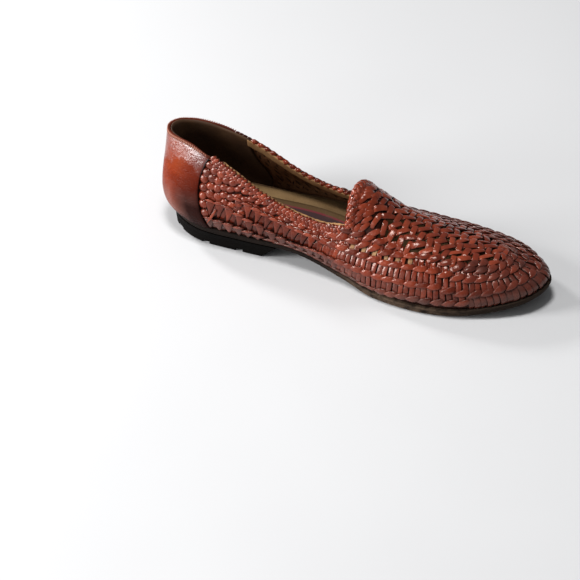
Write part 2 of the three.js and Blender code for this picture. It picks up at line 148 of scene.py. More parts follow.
def bend(p0, p1, p2, p3, w):
    """Cubic curve from p0 to p3."""
    w = np.asarray(w)[..., None]
    v = 1 - w
    return v**3 * p0 + 3 * v * v * w * p1 + 3 * v * w * w * p2 + w**3 * p3


def wall(t, w):
    """The last at station t, from the sole (w = 0) to the rim (w = 1)."""
    t, w = np.broadcast_arrays(np.asarray(t, float), np.asarray(w, float))
    low, high, out = foot(t), rim(t), outward(t)
    swell = low + out * ring(BULGE, t)[..., None] + UP * ring(RISE, t)[..., None]
    shoulder = high + out * ring(LEAN, t)[..., None] - UP * ring(DROP, t)[..., None]
    return bend(low, swell, shoulder, high, w)


def climb_at(t, w):
    """Direction up the wall."""
    return wall(t, np.minimum(1, w + TINY_STEP)) - wall(t, np.maximum(0, w - TINY_STEP))


# Lengths along the feather line and up the wall, at many stations.
FINE_T = np.linspace(0, LOOP, 1321)
FINE_S = lengths_along(foot(FINE_T))
ROUND_LENGTH = FINE_S[-1]
SHARES = np.linspace(0, 1, 49)
CLIMB = lengths_along(wall(FINE_T[:, None], SHARES[None, :]))
HEIGHTS = CLIMB[:, -1]
LIFTS = np.array([np.interp(SHARES * tall, climb, SHARES) for tall, climb in zip(HEIGHTS, CLIMB)])


def station(s):
    """Station at s millimetres along the feather line, from the heel by the inner side."""
    return np.interp(np.mod(s, ROUND_LENGTH), FINE_S, FINE_T)


def along_foot(t):
    return np.interp(t, FINE_T, FINE_S)


def wall_height(t):
    return np.interp(np.mod(t, LOOP), FINE_T, HEIGHTS)


def tall_at(s):
    """Height up the wall to the rim, at s millimetres along the feather line."""
    return wall_height(station(s))


def wall_share(t, v):
    """Curve share w at share v of the wall's length, both from sole to rim."""
    x = np.mod(t, LOOP) / LOOP * (len(FINE_T) - 1)
    y = np.clip(v, 0, 1) * (len(SHARES) - 1)
    i = np.minimum(x.astype(int), len(FINE_T) - 2)
    j = np.minimum(y.astype(int), len(SHARES) - 2)
    f, g = x - i, y - j
    low = LIFTS[i, j] * (1 - g) + LIFTS[i, j + 1] * g
    high = LIFTS[i + 1, j] * (1 - g) + LIFTS[i + 1, j + 1] * g
    return low * (1 - f) + high * f


def side(s, d):
    """The wall at s millimetres along the feather line and d up from it, going on past the rim."""
    s, d = np.broadcast_arrays(np.asarray(s, float), np.asarray(d, float))
    t = station(s)
    tall = wall_height(t)
    inside = np.clip(d, 0, tall)
    w = wall_share(t, inside / tall)
    point = wall(t, w)
    return point + unit(climb_at(t, w)) * (d - inside)[..., None]


COLUMN_NUMBERS = np.arange(SIDE_COLUMNS + 1)


def even_stations(start, end, count):
    marks = np.linspace(start, end, 401)
    lengths = lengths_along(foot(marks))
    return np.interp(np.linspace(0, lengths[-1], count + 1), lengths, marks)


def side_stations(heel_end, throat):
    """Stations of the columns of one side: even behind the throat, and even in front of it."""
    behind = even_stations(heel_end, throat, BACK_COLUMNS)
    in_front = even_stations(throat, LAST_STATION, FRONT_COLUMNS)
    return np.concatenate([behind, in_front[1:]])


IN_STATIONS = side_stations(0, THROAT_STATION)
OUT_STATIONS = side_stations(LOOP, LOOP - THROAT_STATION)


def stations_of(c):
    """Inner and outer station of column c."""
    return np.interp(c, COLUMN_NUMBERS, IN_STATIONS), np.interp(c, COLUMN_NUMBERS, OUT_STATIONS)


def vamp(c, q):
    """The middle of the vamp on column c, from the inner rim (q = 0) to the outer (q = 1)."""
    c, q = np.broadcast_arrays(np.asarray(c, float), np.asarray(q, float))
    t_in, t_out = stations_of(c)
    inner, outer = rim(t_in), rim(t_out)
    across = outer - inner
    near = inner + across * DOME_SHARE + UP * ring(CREST_IN, t_in)[..., None]
    far = outer - across * DOME_SHARE + UP * ring(CREST_OUT, t_in)[..., None]
    point = bend(inner, near, far, outer, q)
    share = grown(c, BACK_COLUMNS, FRONT_COLUMNS)
    point[..., 0] += THROAT_LEAN * (1 - share) ** 2 * 4 * q * (1 - q)
    return point


# A skin is a surface with the two steps that its slopes are taken over.
SIDE = (side, (0.6, 0.6))
VAMP = (vamp, (0.15, 0.01))


def slopes(skin, u, v):
    surface, (step_u, step_v) = skin
    along = (surface(u + step_u, v) - surface(u - step_u, v)) / (2 * step_u)
    across = (surface(u, v + step_v) - surface(u, v - step_v)) / (2 * step_v)
    return along, across


def normal(skin, u, v):
    return unit(np.cross(*slopes(skin, u, v)))


def raised(skin, u, v, offset):
    """A place on a skin, moved outwards by the offset."""
    surface, _ = skin
    return surface(u, v) + normal(skin, u, v) * np.asarray(offset)[..., None]


# The solids' frame is the last's frame moved to the middle of the foot-print.
sole_low, sole_high = (np.array(corner) * 1000 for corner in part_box("outsole"))
lip = foot(FINE_T) + outward(FINE_T) * SOLE_LIP_EDGE
SHIFT = (lip.min(0) + lip.max(0) - sole_low - sole_high) / 2
SHIFT[2] = 0


def row(points):
    """Last's millimetres to the row frame's metres."""
    return (np.asarray(points) - SHIFT) / 1000


# Finishes


NOISE_LOW, NOISE_HIGH = 0.3, 0.7  # where most of a noise lies


class Finish:
    """A leather, rubber or cloth finish, built up node by node on one shader."""

    def __init__(self, name, rough=0.5, **sockets):
        self.material = bpy.data.materials.new(name)
        self.material.use_nodes = True
        self.nodes = self.material.node_tree.nodes
        self.links = self.material.node_tree.links
        self.shader = self.nodes["Principled BSDF"]
        self.shader.inputs["Roughness"].default_value = rough
        for socket, value in sockets.items():
            self.shader.inputs[socket.replace("_", " ")].default_value = value
        self.place = self.add("TexCoord", "Object", {})
        self.bumped = None

    def put(self, value, socket):
        if isinstance(value, bpy.types.NodeSocket):
            self.links.new(value, socket)
        else:
            socket.default_value = value

    def add(self, kind, output, inputs, **settings):
        """A new node with its settings and inputs, of which one output is given back."""
        node = self.nodes.new("ShaderNode" + kind)
        for setting, value in settings.items():
            setattr(node, setting, value)
        for socket, value in inputs.items():
            self.put(value, node.inputs[socket])
        return node.outputs[output]

    def attribute(self, name):
        return self.add("Attribute", "Fac", {}, attribute_name=name)

    def uv(self):
        return self.add("TexCoord", "UV", {})

    def part(self, vector, axis):
        return self.add("SeparateXYZ", axis, {"Vector": vector})

    def stretched(self, scale, vector=None):
        return self.add("Mapping", "Vector", {"Vector": vector or self.place, "Scale": scale})

    def noise(self, scale, detail=3.0, rough=0.55, vector=None, swirl=0.0):
        grain = {"Scale": scale, "Detail": detail, "Roughness": rough, "Distortion": swirl}
        return self.add("TexNoise", "Fac", {"Vector": vector or self.place, **grain})

    def cells(self, scale):
        return self.add("TexVoronoi", "Distance", {"Vector": self.place, "Scale": scale})

    def ramp(self, value, stops):
        node = self.nodes.new("ShaderNodeValToRGB")
        self.links.new(value, node.inputs[0])
        marks = node.color_ramp.elements
        while len(marks) < len(stops):
            marks.new(0.5)
        for mark, (at, colour) in zip(marks, stops):
            mark.position = at
            mark.color = (*colour, 1)
        return node.outputs["Color"]

    def span(self, value, low, high, out_low=0.0, out_high=1.0):
        """0 to 1, or out_low to out_high, while the value goes from low to high."""
        ends = {"From Min": low, "From Max": high, "To Min": out_low, "To Max": out_high}
        return self.add("MapRange", "Result", {"Value": value, **ends})

    def between(self, noise, low, high):
        """A noise that wanders from low to high."""
        return self.span(noise, NOISE_LOW, NOISE_HIGH, low, high)

    def plus(self, a, b):
        return self.add("Math", "Value", {0: a, 1: b}, operation="ADD")

    def times(self, a, b):
        return self.add("Math", "Value", {0: a, 1: b}, operation="MULTIPLY")

    def distance(self, a, b):
        gap = self.add("Math", "Value", {0: a, 1: b}, operation="SUBTRACT")
        return self.add("Math", "Value", {0: gap}, operation="ABSOLUTE")

    def blend(self, share, colour, tint):
        """The colour gives way to the tint by the share."""
        return self.add("Mix", 2, {"Factor": share, 6: colour, 7: (*tint, 1)}, data_type="RGBA")

    def bump(self, height, strength, depth):
        inputs = {"Strength": strength, "Distance": depth, "Height": height}
        if self.bumped:
            inputs["Normal"] = self.bumped
        self.bumped = self.add("Bump", "Normal", inputs)
        return self

    def done(self, colour, rough=None):
        self.put(colour, self.shader.inputs["Base Color"])
        if rough is not None:
            self.put(rough, self.shader.inputs["Roughness"])
        if self.bumped:
            self.links.new(self.bumped, self.shader.inputs["Normal"])
        return self.material


WARM_SHINE = (1, 0.82, 0.74, 1)  # polish over red leather


def strip_leather(name, dark, middle, bright, dirt_and_shade, shine=0.44):
    """Glossy cut strips: each has its own tone, with painted shade darkening its edges and ends."""
    f = Finish(name, Specular_IOR_Level=shine, Specular_Tint=WARM_SHINE)
    tone = f.plus(f.attribute("tone"), f.between(f.noise(160), -0.2, 0.2))
    colour = f.ramp(tone, [(0.0, dark), (0.5, middle), (1.0, bright)])
    streak = f.noise(260, 4, 0.6, swirl=0.6)
    colour = f.blend(f.span(streak, 0.52, 0.75, 0, 0.45), colour, dark)
    # Painted shade: each strip darkens towards its edges and ends, and fully on its underside, where its
    # crown mark is low.
    crown = f.attribute("crown")
    colour = f.blend(f.span(crown, 0.1, 0.65, 0.9, 0.0), colour, (0.03, 0.006, 0.003))
    # Dirt together with painted shade, strongest along the sole and at the toe: darker, greyer and rougher.
    soil_and_shade = f.times(f.attribute("soil_and_shade"), f.span(f.noise(120), 0.3, 0.65, 0.45, 1.0))
    colour = f.blend(soil_and_shade, colour, dirt_and_shade)
    grain = f.noise(1500, 4, 0.65)
    f.bump(grain, 0.25, 0.0003).bump(f.noise(330, 2), 0.35, 0.0006)
    rough = f.plus(f.between(f.noise(240, 3), 0.08, 0.22), f.times(soil_and_shade, 0.25))
    return f.done(colour, rough)


WOVEN = strip_leather(
    "woven_strips",
    dark=(0.068, 0.009, 0.0042),
    middle=(0.155, 0.022, 0.0092),
    bright=(0.25, 0.042, 0.0175),
    dirt_and_shade=(0.07, 0.031, 0.025),
)


def counter_leather():
    """Smooth calf on the heel, orange brown, with painted shade towards the seams and along the foot,
    greyer low down from floor dirt with a painted reflection of the floor, and polished and crumpled
    under the collar."""
    f = Finish("counter_calf")
    up = f.part(f.uv(), "Y")
    cloud = f.noise(38, 5, 0.6, swirl=0.4)
    deep, brown, orange = (0.09, 0.0105, 0.004), (0.165, 0.0215, 0.0068), (0.23, 0.039, 0.0115)
    colour = f.ramp(cloud, [(0.25, deep), (0.5, brown), (0.78, orange)])
    from_middle = f.distance(f.part(f.uv(), "X"), 0.5)
    # Painted shade: darker towards the seams.
    colour = f.blend(f.span(from_middle, 0.34, 0.5, 0, 0.75), colour, (0.07, 0.01, 0.006))
    scuff = f.noise(22, 6, 0.7, vector=f.stretched((3, 3, 0.6)))
    colour = f.blend(f.span(scuff, 0.58, 0.72, 0, 0.5), colour, (0.1, 0.02, 0.012))
    low = f.plus(up, f.between(f.noise(70, 4), -0.07, 0.07))
    # Greyer low down: floor dirt together with a painted reflection of the floor.
    colour = f.blend(f.span(low, 0.5, 0.22, 0, 0.65), colour, (0.24, 0.12, 0.1))
    # Painted shade: darkest along the very foot, where the counter meets the sole.
    colour = f.blend(f.span(low, 0.17, 0.03, 0, 0.85), colour, (0.035, 0.016, 0.014))
    foot_shade = f.times(f.span(up, 0.66, 0.32), f.span(from_middle, 0.3, 0.43, 0, 0.95))
    colour = f.blend(foot_shade, colour, (0.012, 0.0035, 0.003))
    colour = f.blend(f.span(from_middle, 0.494, 0.498), colour, (0.012, 0.004, 0.003))
    colour = f.blend(f.span(up, 0.955, 0.965, 0, 0.75), colour, (0.06, 0.014, 0.008))
    creases = f.noise(1, 4, 0.6, vector=f.stretched((13, 15, 1), f.uv()), swirl=1.6)
    f.bump(f.cells(1300), 0.12, 0.0003).bump(f.noise(420, 4), 0.12, 0.0005).bump(creases, 0.4, 0.0022)
    uneven = f.plus(up, f.between(creases, -0.05, 0.05))
    f.bump(f.span(uneven, 0.96, 0.8), 1.0, 0.001)
    polish = f.plus(up, f.between(f.noise(48, 4, 0.65), -0.12, 0.1))
    dull_edge = f.span(up, 0.95, 0.97, 1.0, 0.05)
    shine = f.times(f.span(polish, 0.72, 0.92, 0.02, 1.0), dull_edge)
    f.put(shine, f.shader.inputs["Specular IOR Level"])
    rough = f.plus(f.between(f.noise(55, 4), 0.16, 0.28), f.span(up, 0.95, 0.97, 0, 0.3))
    return f.done(colour, rough)


def suede(name, dark, bright, slits=False):
    """Flesh side of the strips, matt and dusty, with painted shade in the slits of the weave where asked.
    """
    f = Finish(name, rough=0.9, Specular_IOR_Level=0.1)
    nap = f.noise(700, 5, 0.7)
    colour = f.ramp(f.noise(60, 5, 0.6), [(0.3, dark), (0.7, bright)])
    colour = f.blend(f.span(nap, 0.45, 0.75, 0, 0.5), colour, dark)
    if slits:
        gap = f.attribute("slit")
        # Painted shade in the slits between the strips.
        colour = f.blend(f.span(gap, 0.55, 0.8, 0, 0.9), colour, (0.02, 0.01, 0.006))
        f.bump(f.span(gap, 0.3, 0.8, 1, 0), 0.8, 0.0012)
    f.bump(nap, 0.5, 0.0004)
    return f.done(colour, f.between(nap, 0.8, 0.95))


def dark_lining():
    """Brown lining leather inside the heel, worn shiny where the foot slides."""
    f = Finish("heel_lining_leather", Specular_IOR_Level=0.25)
    cloud = f.noise(45, 5, 0.6)
    deep, brown, worn = (0.028, 0.013, 0.007), (0.06, 0.028, 0.013), (0.095, 0.05, 0.022)
    colour = f.ramp(cloud, [(0.3, deep), (0.6, brown), (0.8, worn)])
    f.bump(f.cells(1100), 0.2, 0.0003).bump(f.noise(90, 3), 0.25, 0.0012)
    return f.done(colour, f.between(f.noise(70, 4), 0.42, 0.7))


def sole_rubber(name, base, worn, dusty):
    """Moulded rubber: nearly black, dusty, with a rubbed tan stretch under the ball of the foot."""
    f = Finish(name, Specular_IOR_Level=0.04)
    cloud = f.noise(80, 5, 0.65)
    colour = f.ramp(cloud, [(0.3, base), (0.75, tuple(2.2 * c for c in base))])
    if worn:
        x = f.part(f.place, "X")
        ball = f.times(f.span(x, -0.01, 0.03), f.span(x, 0.1, 0.07))
        patch = f.times(ball, f.span(f.noise(150, 5, 0.7), 0.38, 0.62))
        colour = f.blend(patch, colour, worn)
        colour = f.blend(f.span(x, 0.07, 0.12, 0, 0.5), colour, tuple(0.35 * c for c in worn))
    colour = f.blend(f.span(f.noise(600, 4, 0.7), 0.55, 0.8, 0, 0.6), colour, dusty)
    f.bump(f.noise(900, 4), 0.25, 0.0004).bump(f.noise(160, 3), 0.3, 0.001)
    return f.done(colour, f.between(cloud, 0.5, 0.78))


def sock_leather():
    """Olive beige sock, polished brown under the heel, darker towards the front as painted shade under the
    throat, with dark specks.
    """
    f = Finish("sock_leather", Specular_IOR_Level=0.2)
    cloud = f.noise(40, 5, 0.6)
    olive, beige, pale = (0.19, 0.115, 0.05), (0.28, 0.175, 0.08), (0.36, 0.235, 0.115)
    colour = f.ramp(cloud, [(0.3, olive), (0.55, beige), (0.8, pale)])
    x = f.part(f.place, "X")
    colour = f.blend(f.span(x, -0.065, -0.11, 0, 0.75), colour, (0.075, 0.045, 0.022))
    # Painted shade: darker towards the front, under the throat.
    colour = f.blend(f.span(x, -0.05, -0.005, 0, 0.8), colour, (0.075, 0.042, 0.018))
    speck = f.noise(420, 5, 0.7)
    colour = f.blend(f.span(speck, 0.58, 0.72, 0, 0.6), colour, (0.09, 0.055, 0.028))
    f.bump(f.cells(900), 0.2, 0.0003).bump(f.noise(150, 4), 0.25, 0.0007)
    return f.done(colour, f.between(f.noise(90, 4), 0.42, 0.68))


def ribbon_cloth():
    """Woven ribbon glued along the sock: plain lengthwise stripes, rubbed."""
    f = Finish("ribbon_cloth", Specular_IOR_Level=0.1)
    across = f.part(f.uv(), "Y")
    wander = f.plus(across, f.between(f.noise(200, 3), -0.012, 0.012))
    stripes = [
        (0.0, (0.05, 0.02, 0.014)),
        (0.3, (0.06, 0.026, 0.022)),
        (0.42, (0.1, 0.064, 0.042)),
        (0.54, (0.06, 0.034, 0.036)),
        (0.71, (0.07, 0.035, 0.036)),
        (0.74, (0.21, 0.036, 0.044)),
        (0.78, (0.19, 0.04, 0.044)),
        (0.815, (0.12, 0.07, 0.032)),
    ]
    colour = f.ramp(wander, stripes)
    rubbed = f.noise(110, 5, 0.65)
    colour = f.blend(f.span(rubbed, 0.5, 0.75, 0, 0.55), colour, (0.14, 0.095, 0.06))
    ribs = f.noise(1, 2, vector=f.stretched((2600, 500, 500)))
    f.bump(ribs, 0.5, 0.0004)
    return f.done(colour, f.between(rubbed, 0.6, 0.85))


def insole_board():
    """Brown leather at the insole's edge."""
    f = Finish("insole_edge_leather", Specular_IOR_Level=0.25)
    cloud = f.noise(90, 5, 0.6)
    colour = f.ramp(cloud, [(0.3, (0.1, 0.052, 0.025)), (0.7, (0.2, 0.115, 0.055))])
    f.bump(f.cells(900), 0.2, 0.0003)
    return f.done(colour, f.between(cloud, 0.45, 0.7))


def thread(name, dark, bright):
    """Twisted stitching thread."""
    f = Finish(name, Specular_IOR_Level=0.2)
    twist = f.noise(1800, 3, 0.6)
    f.bump(twist, 0.6, 0.0003)
    return f.done(f.ramp(twist, [(0.3, dark), (0.7, bright)]), f.between(twist, 0.5, 0.75))


COUNTER = counter_leather()
# Near-black finish of the passes behind the weave and of the throat's core: painted shade in the crevices.
CREVICE_SHADE_LEATHER = strip_leather(
    "weave_crevice_painted_shade",
    dark=(0.012, 0.004, 0.003),
    middle=(0.02, 0.006, 0.004),
    bright=(0.03, 0.009, 0.006),
    dirt_and_shade=(0.02, 0.012, 0.009),
    shine=0.1,
)
SUEDE = suede("suede_inside", (0.065, 0.025, 0.01), (0.2, 0.09, 0.038), slits=True)
TAPE = suede("collar_tape_suede", (0.2, 0.095, 0.04), (0.42, 0.235, 0.105))
FLESH = suede("flesh_side", (0.17, 0.07, 0.035), (0.4, 0.24, 0.12))
LINING = dark_lining()
OUTSOLE = sole_rubber("outsole_rubber", (0.008, 0.0055, 0.0045), (0.11, 0.072, 0.048), (0.04, 0.032, 0.027))
HEEL = sole_rubber("heel_rubber", (0.0018, 0.0014, 0.0012), None, (0.009, 0.0075, 0.007))
SOCK = sock_leather()
RIBBON_CLOTH = ribbon_cloth()
INSOLE = insole_board()
STITCH = thread("counter_thread", (0.2, 0.06, 0.035), (0.42, 0.19, 0.13))


# Making


def fresh():
    """Nothing is selected before a new piece is started."""
    if bpy.context.object and bpy.context.object.mode != "OBJECT":
        bpy.ops.object.mode_set(mode="OBJECT")
    bpy.ops.object.select_all(action="DESELECT")


def apply(piece, kind, **settings):
    modifier = piece.modifiers.new(kind.lower(), kind)
    for setting, value in settings.items():
        setattr(modifier, setting, value)
    bpy.context.view_layer.objects.active = piece
    bpy.ops.object.modifier_apply(modifier=modifier.name)


def finish_piece(piece, materials, node):
    """The piece gets its finish and the solid that it stands for."""
    for material in materials:
        piece.data.materials.append(material)
    for face in piece.data.polygons:
        face.use_smooth = True
    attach(piece, "root")
    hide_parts(node)


def shaped_grid(name, columns, rows, place):
    """A flat grid is added and laid out on the last: place gets shares along and across."""
    fresh()
    bpy.ops.mesh.primitive_grid_add(x_subdivisions=columns, y_subdivisions=rows, size=2)
    piece = bpy.context.object
    piece.name = piece.data.name = name
    flat = np.empty(len(piece.data.vertices) * 3)
    piece.data.vertices.foreach_get("co", flat)
    shares = (flat.reshape(-1, 3)[:, :2] + 1) / 2
    laid = row(place(shares[:, 0], shares[:, 1]))
    piece.data.vertices.foreach_set("co", laid.ravel())
    piece.data.update()
    return piece


def closed(piece):
    """The seam and the two ends of a wrapped grid are joined."""
    bpy.context.view_layer.objects.active = piece
    bpy.ops.object.mode_set(mode="EDIT")
    bpy.ops.mesh.select_all(action="SELECT")
    bpy.ops.mesh.remove_doubles(threshold=1e-6)
    bpy.ops.mesh.normals_make_consistent(inside=False)
    bpy.ops.object.mode_set(mode="OBJECT")
    return piece


def turned_over(piece):
    """The faces look the other way."""
    bpy.context.view_layer.objects.active = piece
    bpy.ops.object.mode_set(mode="EDIT")
    bpy.ops.mesh.select_all(action="SELECT")
    bpy.ops.mesh.flip_normals()
    bpy.ops.object.mode_set(mode="OBJECT")


def set_mark(mesh, word, values):
    """One number for each point, for the finish to read."""
    mark = mesh.attributes.new(word, "FLOAT", "POINT")
    mark.data.foreach_set("value", np.broadcast_to(values, len(mesh.vertices)).astype(np.float32))


def woven_marks(piece, slit=0.0):
    """The marks that the strips' finish reads, for a piece that isn't made of strips."""
    for word, values in (("tone", 0.6), ("crown", 0.6), ("soil_and_shade", 0.0), ("slit", slit)):
        set_mark(piece.data, word, values)


# Strips: one blank is modelled, then laid over the last again and again.


def strip_blank(along, across, edge=None):
    """A thin strip, square for now: shares along and across, top or not, and faces. Its underside is
    one face. With edge, the rows beside the middle move out to that share, for a flat top with a
    narrow edge."""
    fresh()
    bpy.ops.mesh.primitive_grid_add(x_subdivisions=along, y_subdivisions=across, size=2)
    blank = bpy.context.object
    apply(blank, "SOLIDIFY", thickness=1.0, offset=-1)
    bpy.ops.object.mode_set(mode="EDIT")
    bpy.ops.mesh.select_mode(type="FACE")
    bpy.ops.mesh.select_all(action="DESELECT")
    bpy.ops.object.mode_set(mode="OBJECT")
    for face in blank.data.polygons:
        face.select = face.center.z < -0.9
    bpy.ops.object.mode_set(mode="EDIT")
    bpy.ops.mesh.dissolve_faces()
    bpy.ops.mesh.select_all(action="SELECT")
    bpy.ops.mesh.normals_make_consistent(inside=False)
    bpy.ops.mesh.select_mode(type="VERT")
    bpy.ops.object.mode_set(mode="OBJECT")
    places = np.array([v.co[:] for v in blank.data.vertices])
    faces = [tuple(p.vertices) for p in blank.data.polygons]
    mesh = blank.data
    bpy.data.objects.remove(blank)
    bpy.data.meshes.remove(mesh)
    b = places[:, 1]
    if edge:
        b = np.sign(b) * np.interp(np.abs(b), [0, 0.5, 1], [0, edge, 1])
    return places[:, 0], b, places[:, 2] > -0.5, faces


ROUND_BLANK = strip_blank(6, 4)
LEAF_BLANK = strip_blank(6, 4, 0.78)
BAND_BLANK = strip_blank(4, 4, 0.82)
STITCH_BLANK = strip_blank(3, 2)
FIVE_STOPS = [-1, -0.5, 0, 0.5, 1]
SEVEN_STOPS = [-1, -0.67, -0.33, 0, 0.33, 0.67, 1]


def cut_strip(blank, *widths):
    """A blank with its outline: half widths along its length, as shares of the widest."""
    stops = SEVEN_STOPS if len(widths) == len(SEVEN_STOPS) else FIVE_STOPS
    return blank, (stops, widths)


LEAF = cut_strip(LEAF_BLANK, 0.1, 0.52, 0.86, 1, 1, 0.9, 0.66)
POINTED = cut_strip(LEAF_BLANK, 0.08, 0.55, 0.9, 1, 0.92, 0.62, 0.12)
TUCK = cut_strip(LEAF_BLANK, 0.75, 0.95, 1, 1, 0.95, 0.85, 0.7)
WEDGE = cut_strip(LEAF_BLANK, 0.22, 0.3, 0.4, 0.54, 0.73, 0.93, 1)
LONG_BAND = cut_strip(LEAF_BLANK, 0.8, 0.92, 0.98, 1, 0.98, 0.92, 0.8)
BEAD = cut_strip(ROUND_BLANK, 0.55, 0.88, 0.99, 1, 0.99, 0.88, 0.55)
BAND = cut_strip(BAND_BLANK, 0.86, 0.97, 1, 0.97, 0.86)
THREAD_STITCH = cut_strip(STITCH_BLANK, 0.42, 0.88, 1, 0.88, 0.42)


class Weave:
    """Gathers the laid strips of one piece."""

    def __init__(self):
        self.points, self.faces, self.tone, self.crown, self.soil_and_shade = [], [], [], [], []
        self.count = 0

    def lay(
        self, skin, strip, u, v, turn, size, levels,
        soil_and_shade=0.0, tone=0.5, wild=0.2, tilt=0.0, lean=0.0, bow=0.0, arch=2, flat=2.4,
    ):
        """Lays a strip on a skin at every (u, v), turned from the skin's first direction. size is half
        length, half width, crown and thickness; levels are heights at the left end, middle and right
        end. tilt lifts one long edge, lean carries the left end aside, bow bends the strip in its own
        plane, and arch and flat say how square it is along and across."""
        (a, b, top, faces), outline = strip
        u, v = (np.asarray(x, float)[:, None] for x in np.broadcast_arrays(u, v))
        many = len(u)
        if not many:
            return

        def column(value):
            return np.broadcast_to(np.asarray(value, float), (many,))[:, None]

        turn = np.radians(column(turn))
        half_length, half_width, crown, thick = (column(x) for x in size)
        left, middle, right = (column(x) for x in levels)
        along, across = slopes(skin, u, v)
        first = unit(along)
        second = unit(np.cross(unit(np.cross(along, across)), first))
        x = a * half_length
        y = (b * np.interp(a, *outline) + lean * (1 - a) / 2 + bow * (1 - a * a)) * half_width
        lay_x = x * np.cos(turn) - y * np.sin(turn)
        lay_y = x * np.sin(turn) + y * np.cos(turn)
        dv = lay_y / (across * second).sum(-1)
        du = (lay_x - (across * first).sum(-1) * dv) / np.linalg.norm(along, axis=-1)
        ends = np.where(a < 0, left, right)
        base = ends + (middle - ends) * (1 - np.abs(a) ** arch) + tilt * b
        dome = 1 - np.abs(b) ** flat
        height = base + np.where(top, crown * dome, -thick)
        self.points.append(raised(skin, u + du, v + dv, height).reshape(-1, 3))
        size_of_blank = len(a)
        for i in range(many):
            start = self.count + i * size_of_blank
            self.faces.extend(tuple(start + n for n in face) for face in faces)
        self.count += many * size_of_blank
        tone = np.clip(luck.normal(tone, wild, many), 0, 1)
        self.tone.append(np.repeat(tone, size_of_blank))
        # Crown mark for the finish's painted shade: high over the middle of the top, lower towards the
        # edges and ends, 0 on the underside.
        worn = np.where(top, 0.25 + 0.75 * dome * (1 - 0.6 * a**4), 0.0)
        self.crown.append(np.tile(worn, many))
        self.soil_and_shade.append(np.repeat(np.broadcast_to(soil_and_shade, (many,)), size_of_blank))

    def piece(self, name, material, slot, node):
        mesh = bpy.data.meshes.new(name)
        mesh.from_pydata(row(np.concatenate(self.points)).tolist(), [], self.faces)
        for word, values in (("tone", self.tone), ("crown", self.crown), ("soil_and_shade", self.soil_and_shade)):
            set_mark(mesh, word, np.concatenate(values))
        piece = bpy.data.objects.new(name, mesh)
        bpy.context.scene.collection.objects.link(piece)
        finish_piece(piece, [material], node)


SEAM = (2.36, 1.95, 2.52)  # stations of the counter's front seam: foot, bend, collar


def seam_station(w):
    low, bent, high = SEAM
    return (1 - w) ** 2 * low + 2 * w * (1 - w) * bent + w**2 * high


def from_heel(s):
    """Distance along the feather line from the heel, whichever side s is on."""
    return np.minimum(s, ROUND_LENGTH - s)


def on_side(s, sign):
    """The same distance from the heel on the inner side (1) or the outer (-1)."""
    return s if sign > 0 else ROUND_LENGTH - s


def jitter(size, amount):
    return luck.uniform(-amount, amount, size)


BACK_END = along_foot(4.0)  # where the close weave ends
FRONT_START = along_foot(6.0)  # where the open rows are all there
TOE_START = along_foot(8.1)
TOE_FADE = 30


def openness(s):
    """0 on the close weave behind, 1 where the rows stand apart on the forefoot."""
    x = grown(from_heel(s), BACK_END, FRONT_START - BACK_END)
    return x * x * (3 - 2 * x)


def toe_share(s):
    return grown(from_heel(s), TOE_START, TOE_FADE)


def leaf_pitch(s):
    """Leaves lie closest behind, a millimetre wider on the forefoot and one more at the toe."""
    return 6.6 + openness(s) + toe_share(s)


def row_places(start, offset, share=1.0):
    """Places along one row, from seam to seam round the toe, a share of the leaves' pitch apart."""
    places = [start + offset]
    while places[-1] < ROUND_LENGTH - start:
        places.append(places[-1] + leaf_pitch(places[-1]) * share)
    return np.array(places)


def seam_line(sign):
    """The seam as heights up the wall and distances from the heel, on one side of the shoe."""
    t = seam_station(SHARES) if sign > 0 else LOOP - seam_station(SHARES)
    nearest = np.rint(t / LOOP * (len(FINE_T) - 1)).astype(int)
    return CLIMB[nearest, np.arange(len(SHARES))], from_heel(along_foot(t))


INNER_SEAM, OUTER_SEAM = seam_line(1), seam_line(-1)


def past_seam(s, d):
    """How far in front of the counter's seam a place on the wall is."""
    inner = from_heel(s) - np.interp(d, *INNER_SEAM)
    outer = from_heel(s) - np.interp(d, *OUTER_SEAM)
    return np.where(np.asarray(s) < ROUND_LENGTH / 2, inner, outer)


# Rows of leaves on the inner side: distances from the heel, and heights up the wall there.
ROWS = (
    (
        [56, 70, 82, 92, 100, 140, 159, 178, 192, 215, 232],
        [9, 8, 5, 2, 0.9, 0.9, 2.5, 4, 5, 5.4, 5],
    ),
    (
        [56, 66, 75, 82, 90, 98, 105, 110, 120, 134, 145]
        + [154, 163, 181, 195, 217, 223, 229, 237, 246, 257],
        [21, 20.5, 17.5, 15, 13, 8.7, 7, 6.4, 9, 11, 11.7]
        + [13.5, 14.8, 15, 16, 16.6, 15, 12.5, 11.1, 11, 12.3],
    ),
    (
        [75, 87, 98, 106, 113, 128, 135, 143, 150, 157, 164, 192, 205, 221, 227, 239, 248],
        [28.5, 26, 23, 21.5, 21.5, 22.6, 23.5, 25.3, 26.4, 28, 28.5, 28, 28.6, 28, 26, 22.5, 21.8],
    ),
    ([150, 166, 180, 196, 221, 228, 240, 252], [33.5, 37, 37, 35.8, 37, 35, 31, 28.3]),
    ([150, 166, 180, 196, 221, 228, 240, 252], [40, 42.3, 42.5, 41, 42, 40.5, 36, 33]),
)
ROW_STARTS = (50, 54, 77, 148, 164)  # nearest to the heel
SOLE_LEAVES = 3  # leaves lower than this lie along the sole
PALE_ROW, PALE_MIDDLE, PALE_REACH = 2, 189, 20  # where strips show their flesh side


def row_height(k, s):
    """Height of row k; the outer side is lower, and its rows keep their shares of it."""
    near = from_heel(s)
    share = tall_at(s) / tall_at(near)
    return np.interp(near, *ROWS[k]) * share


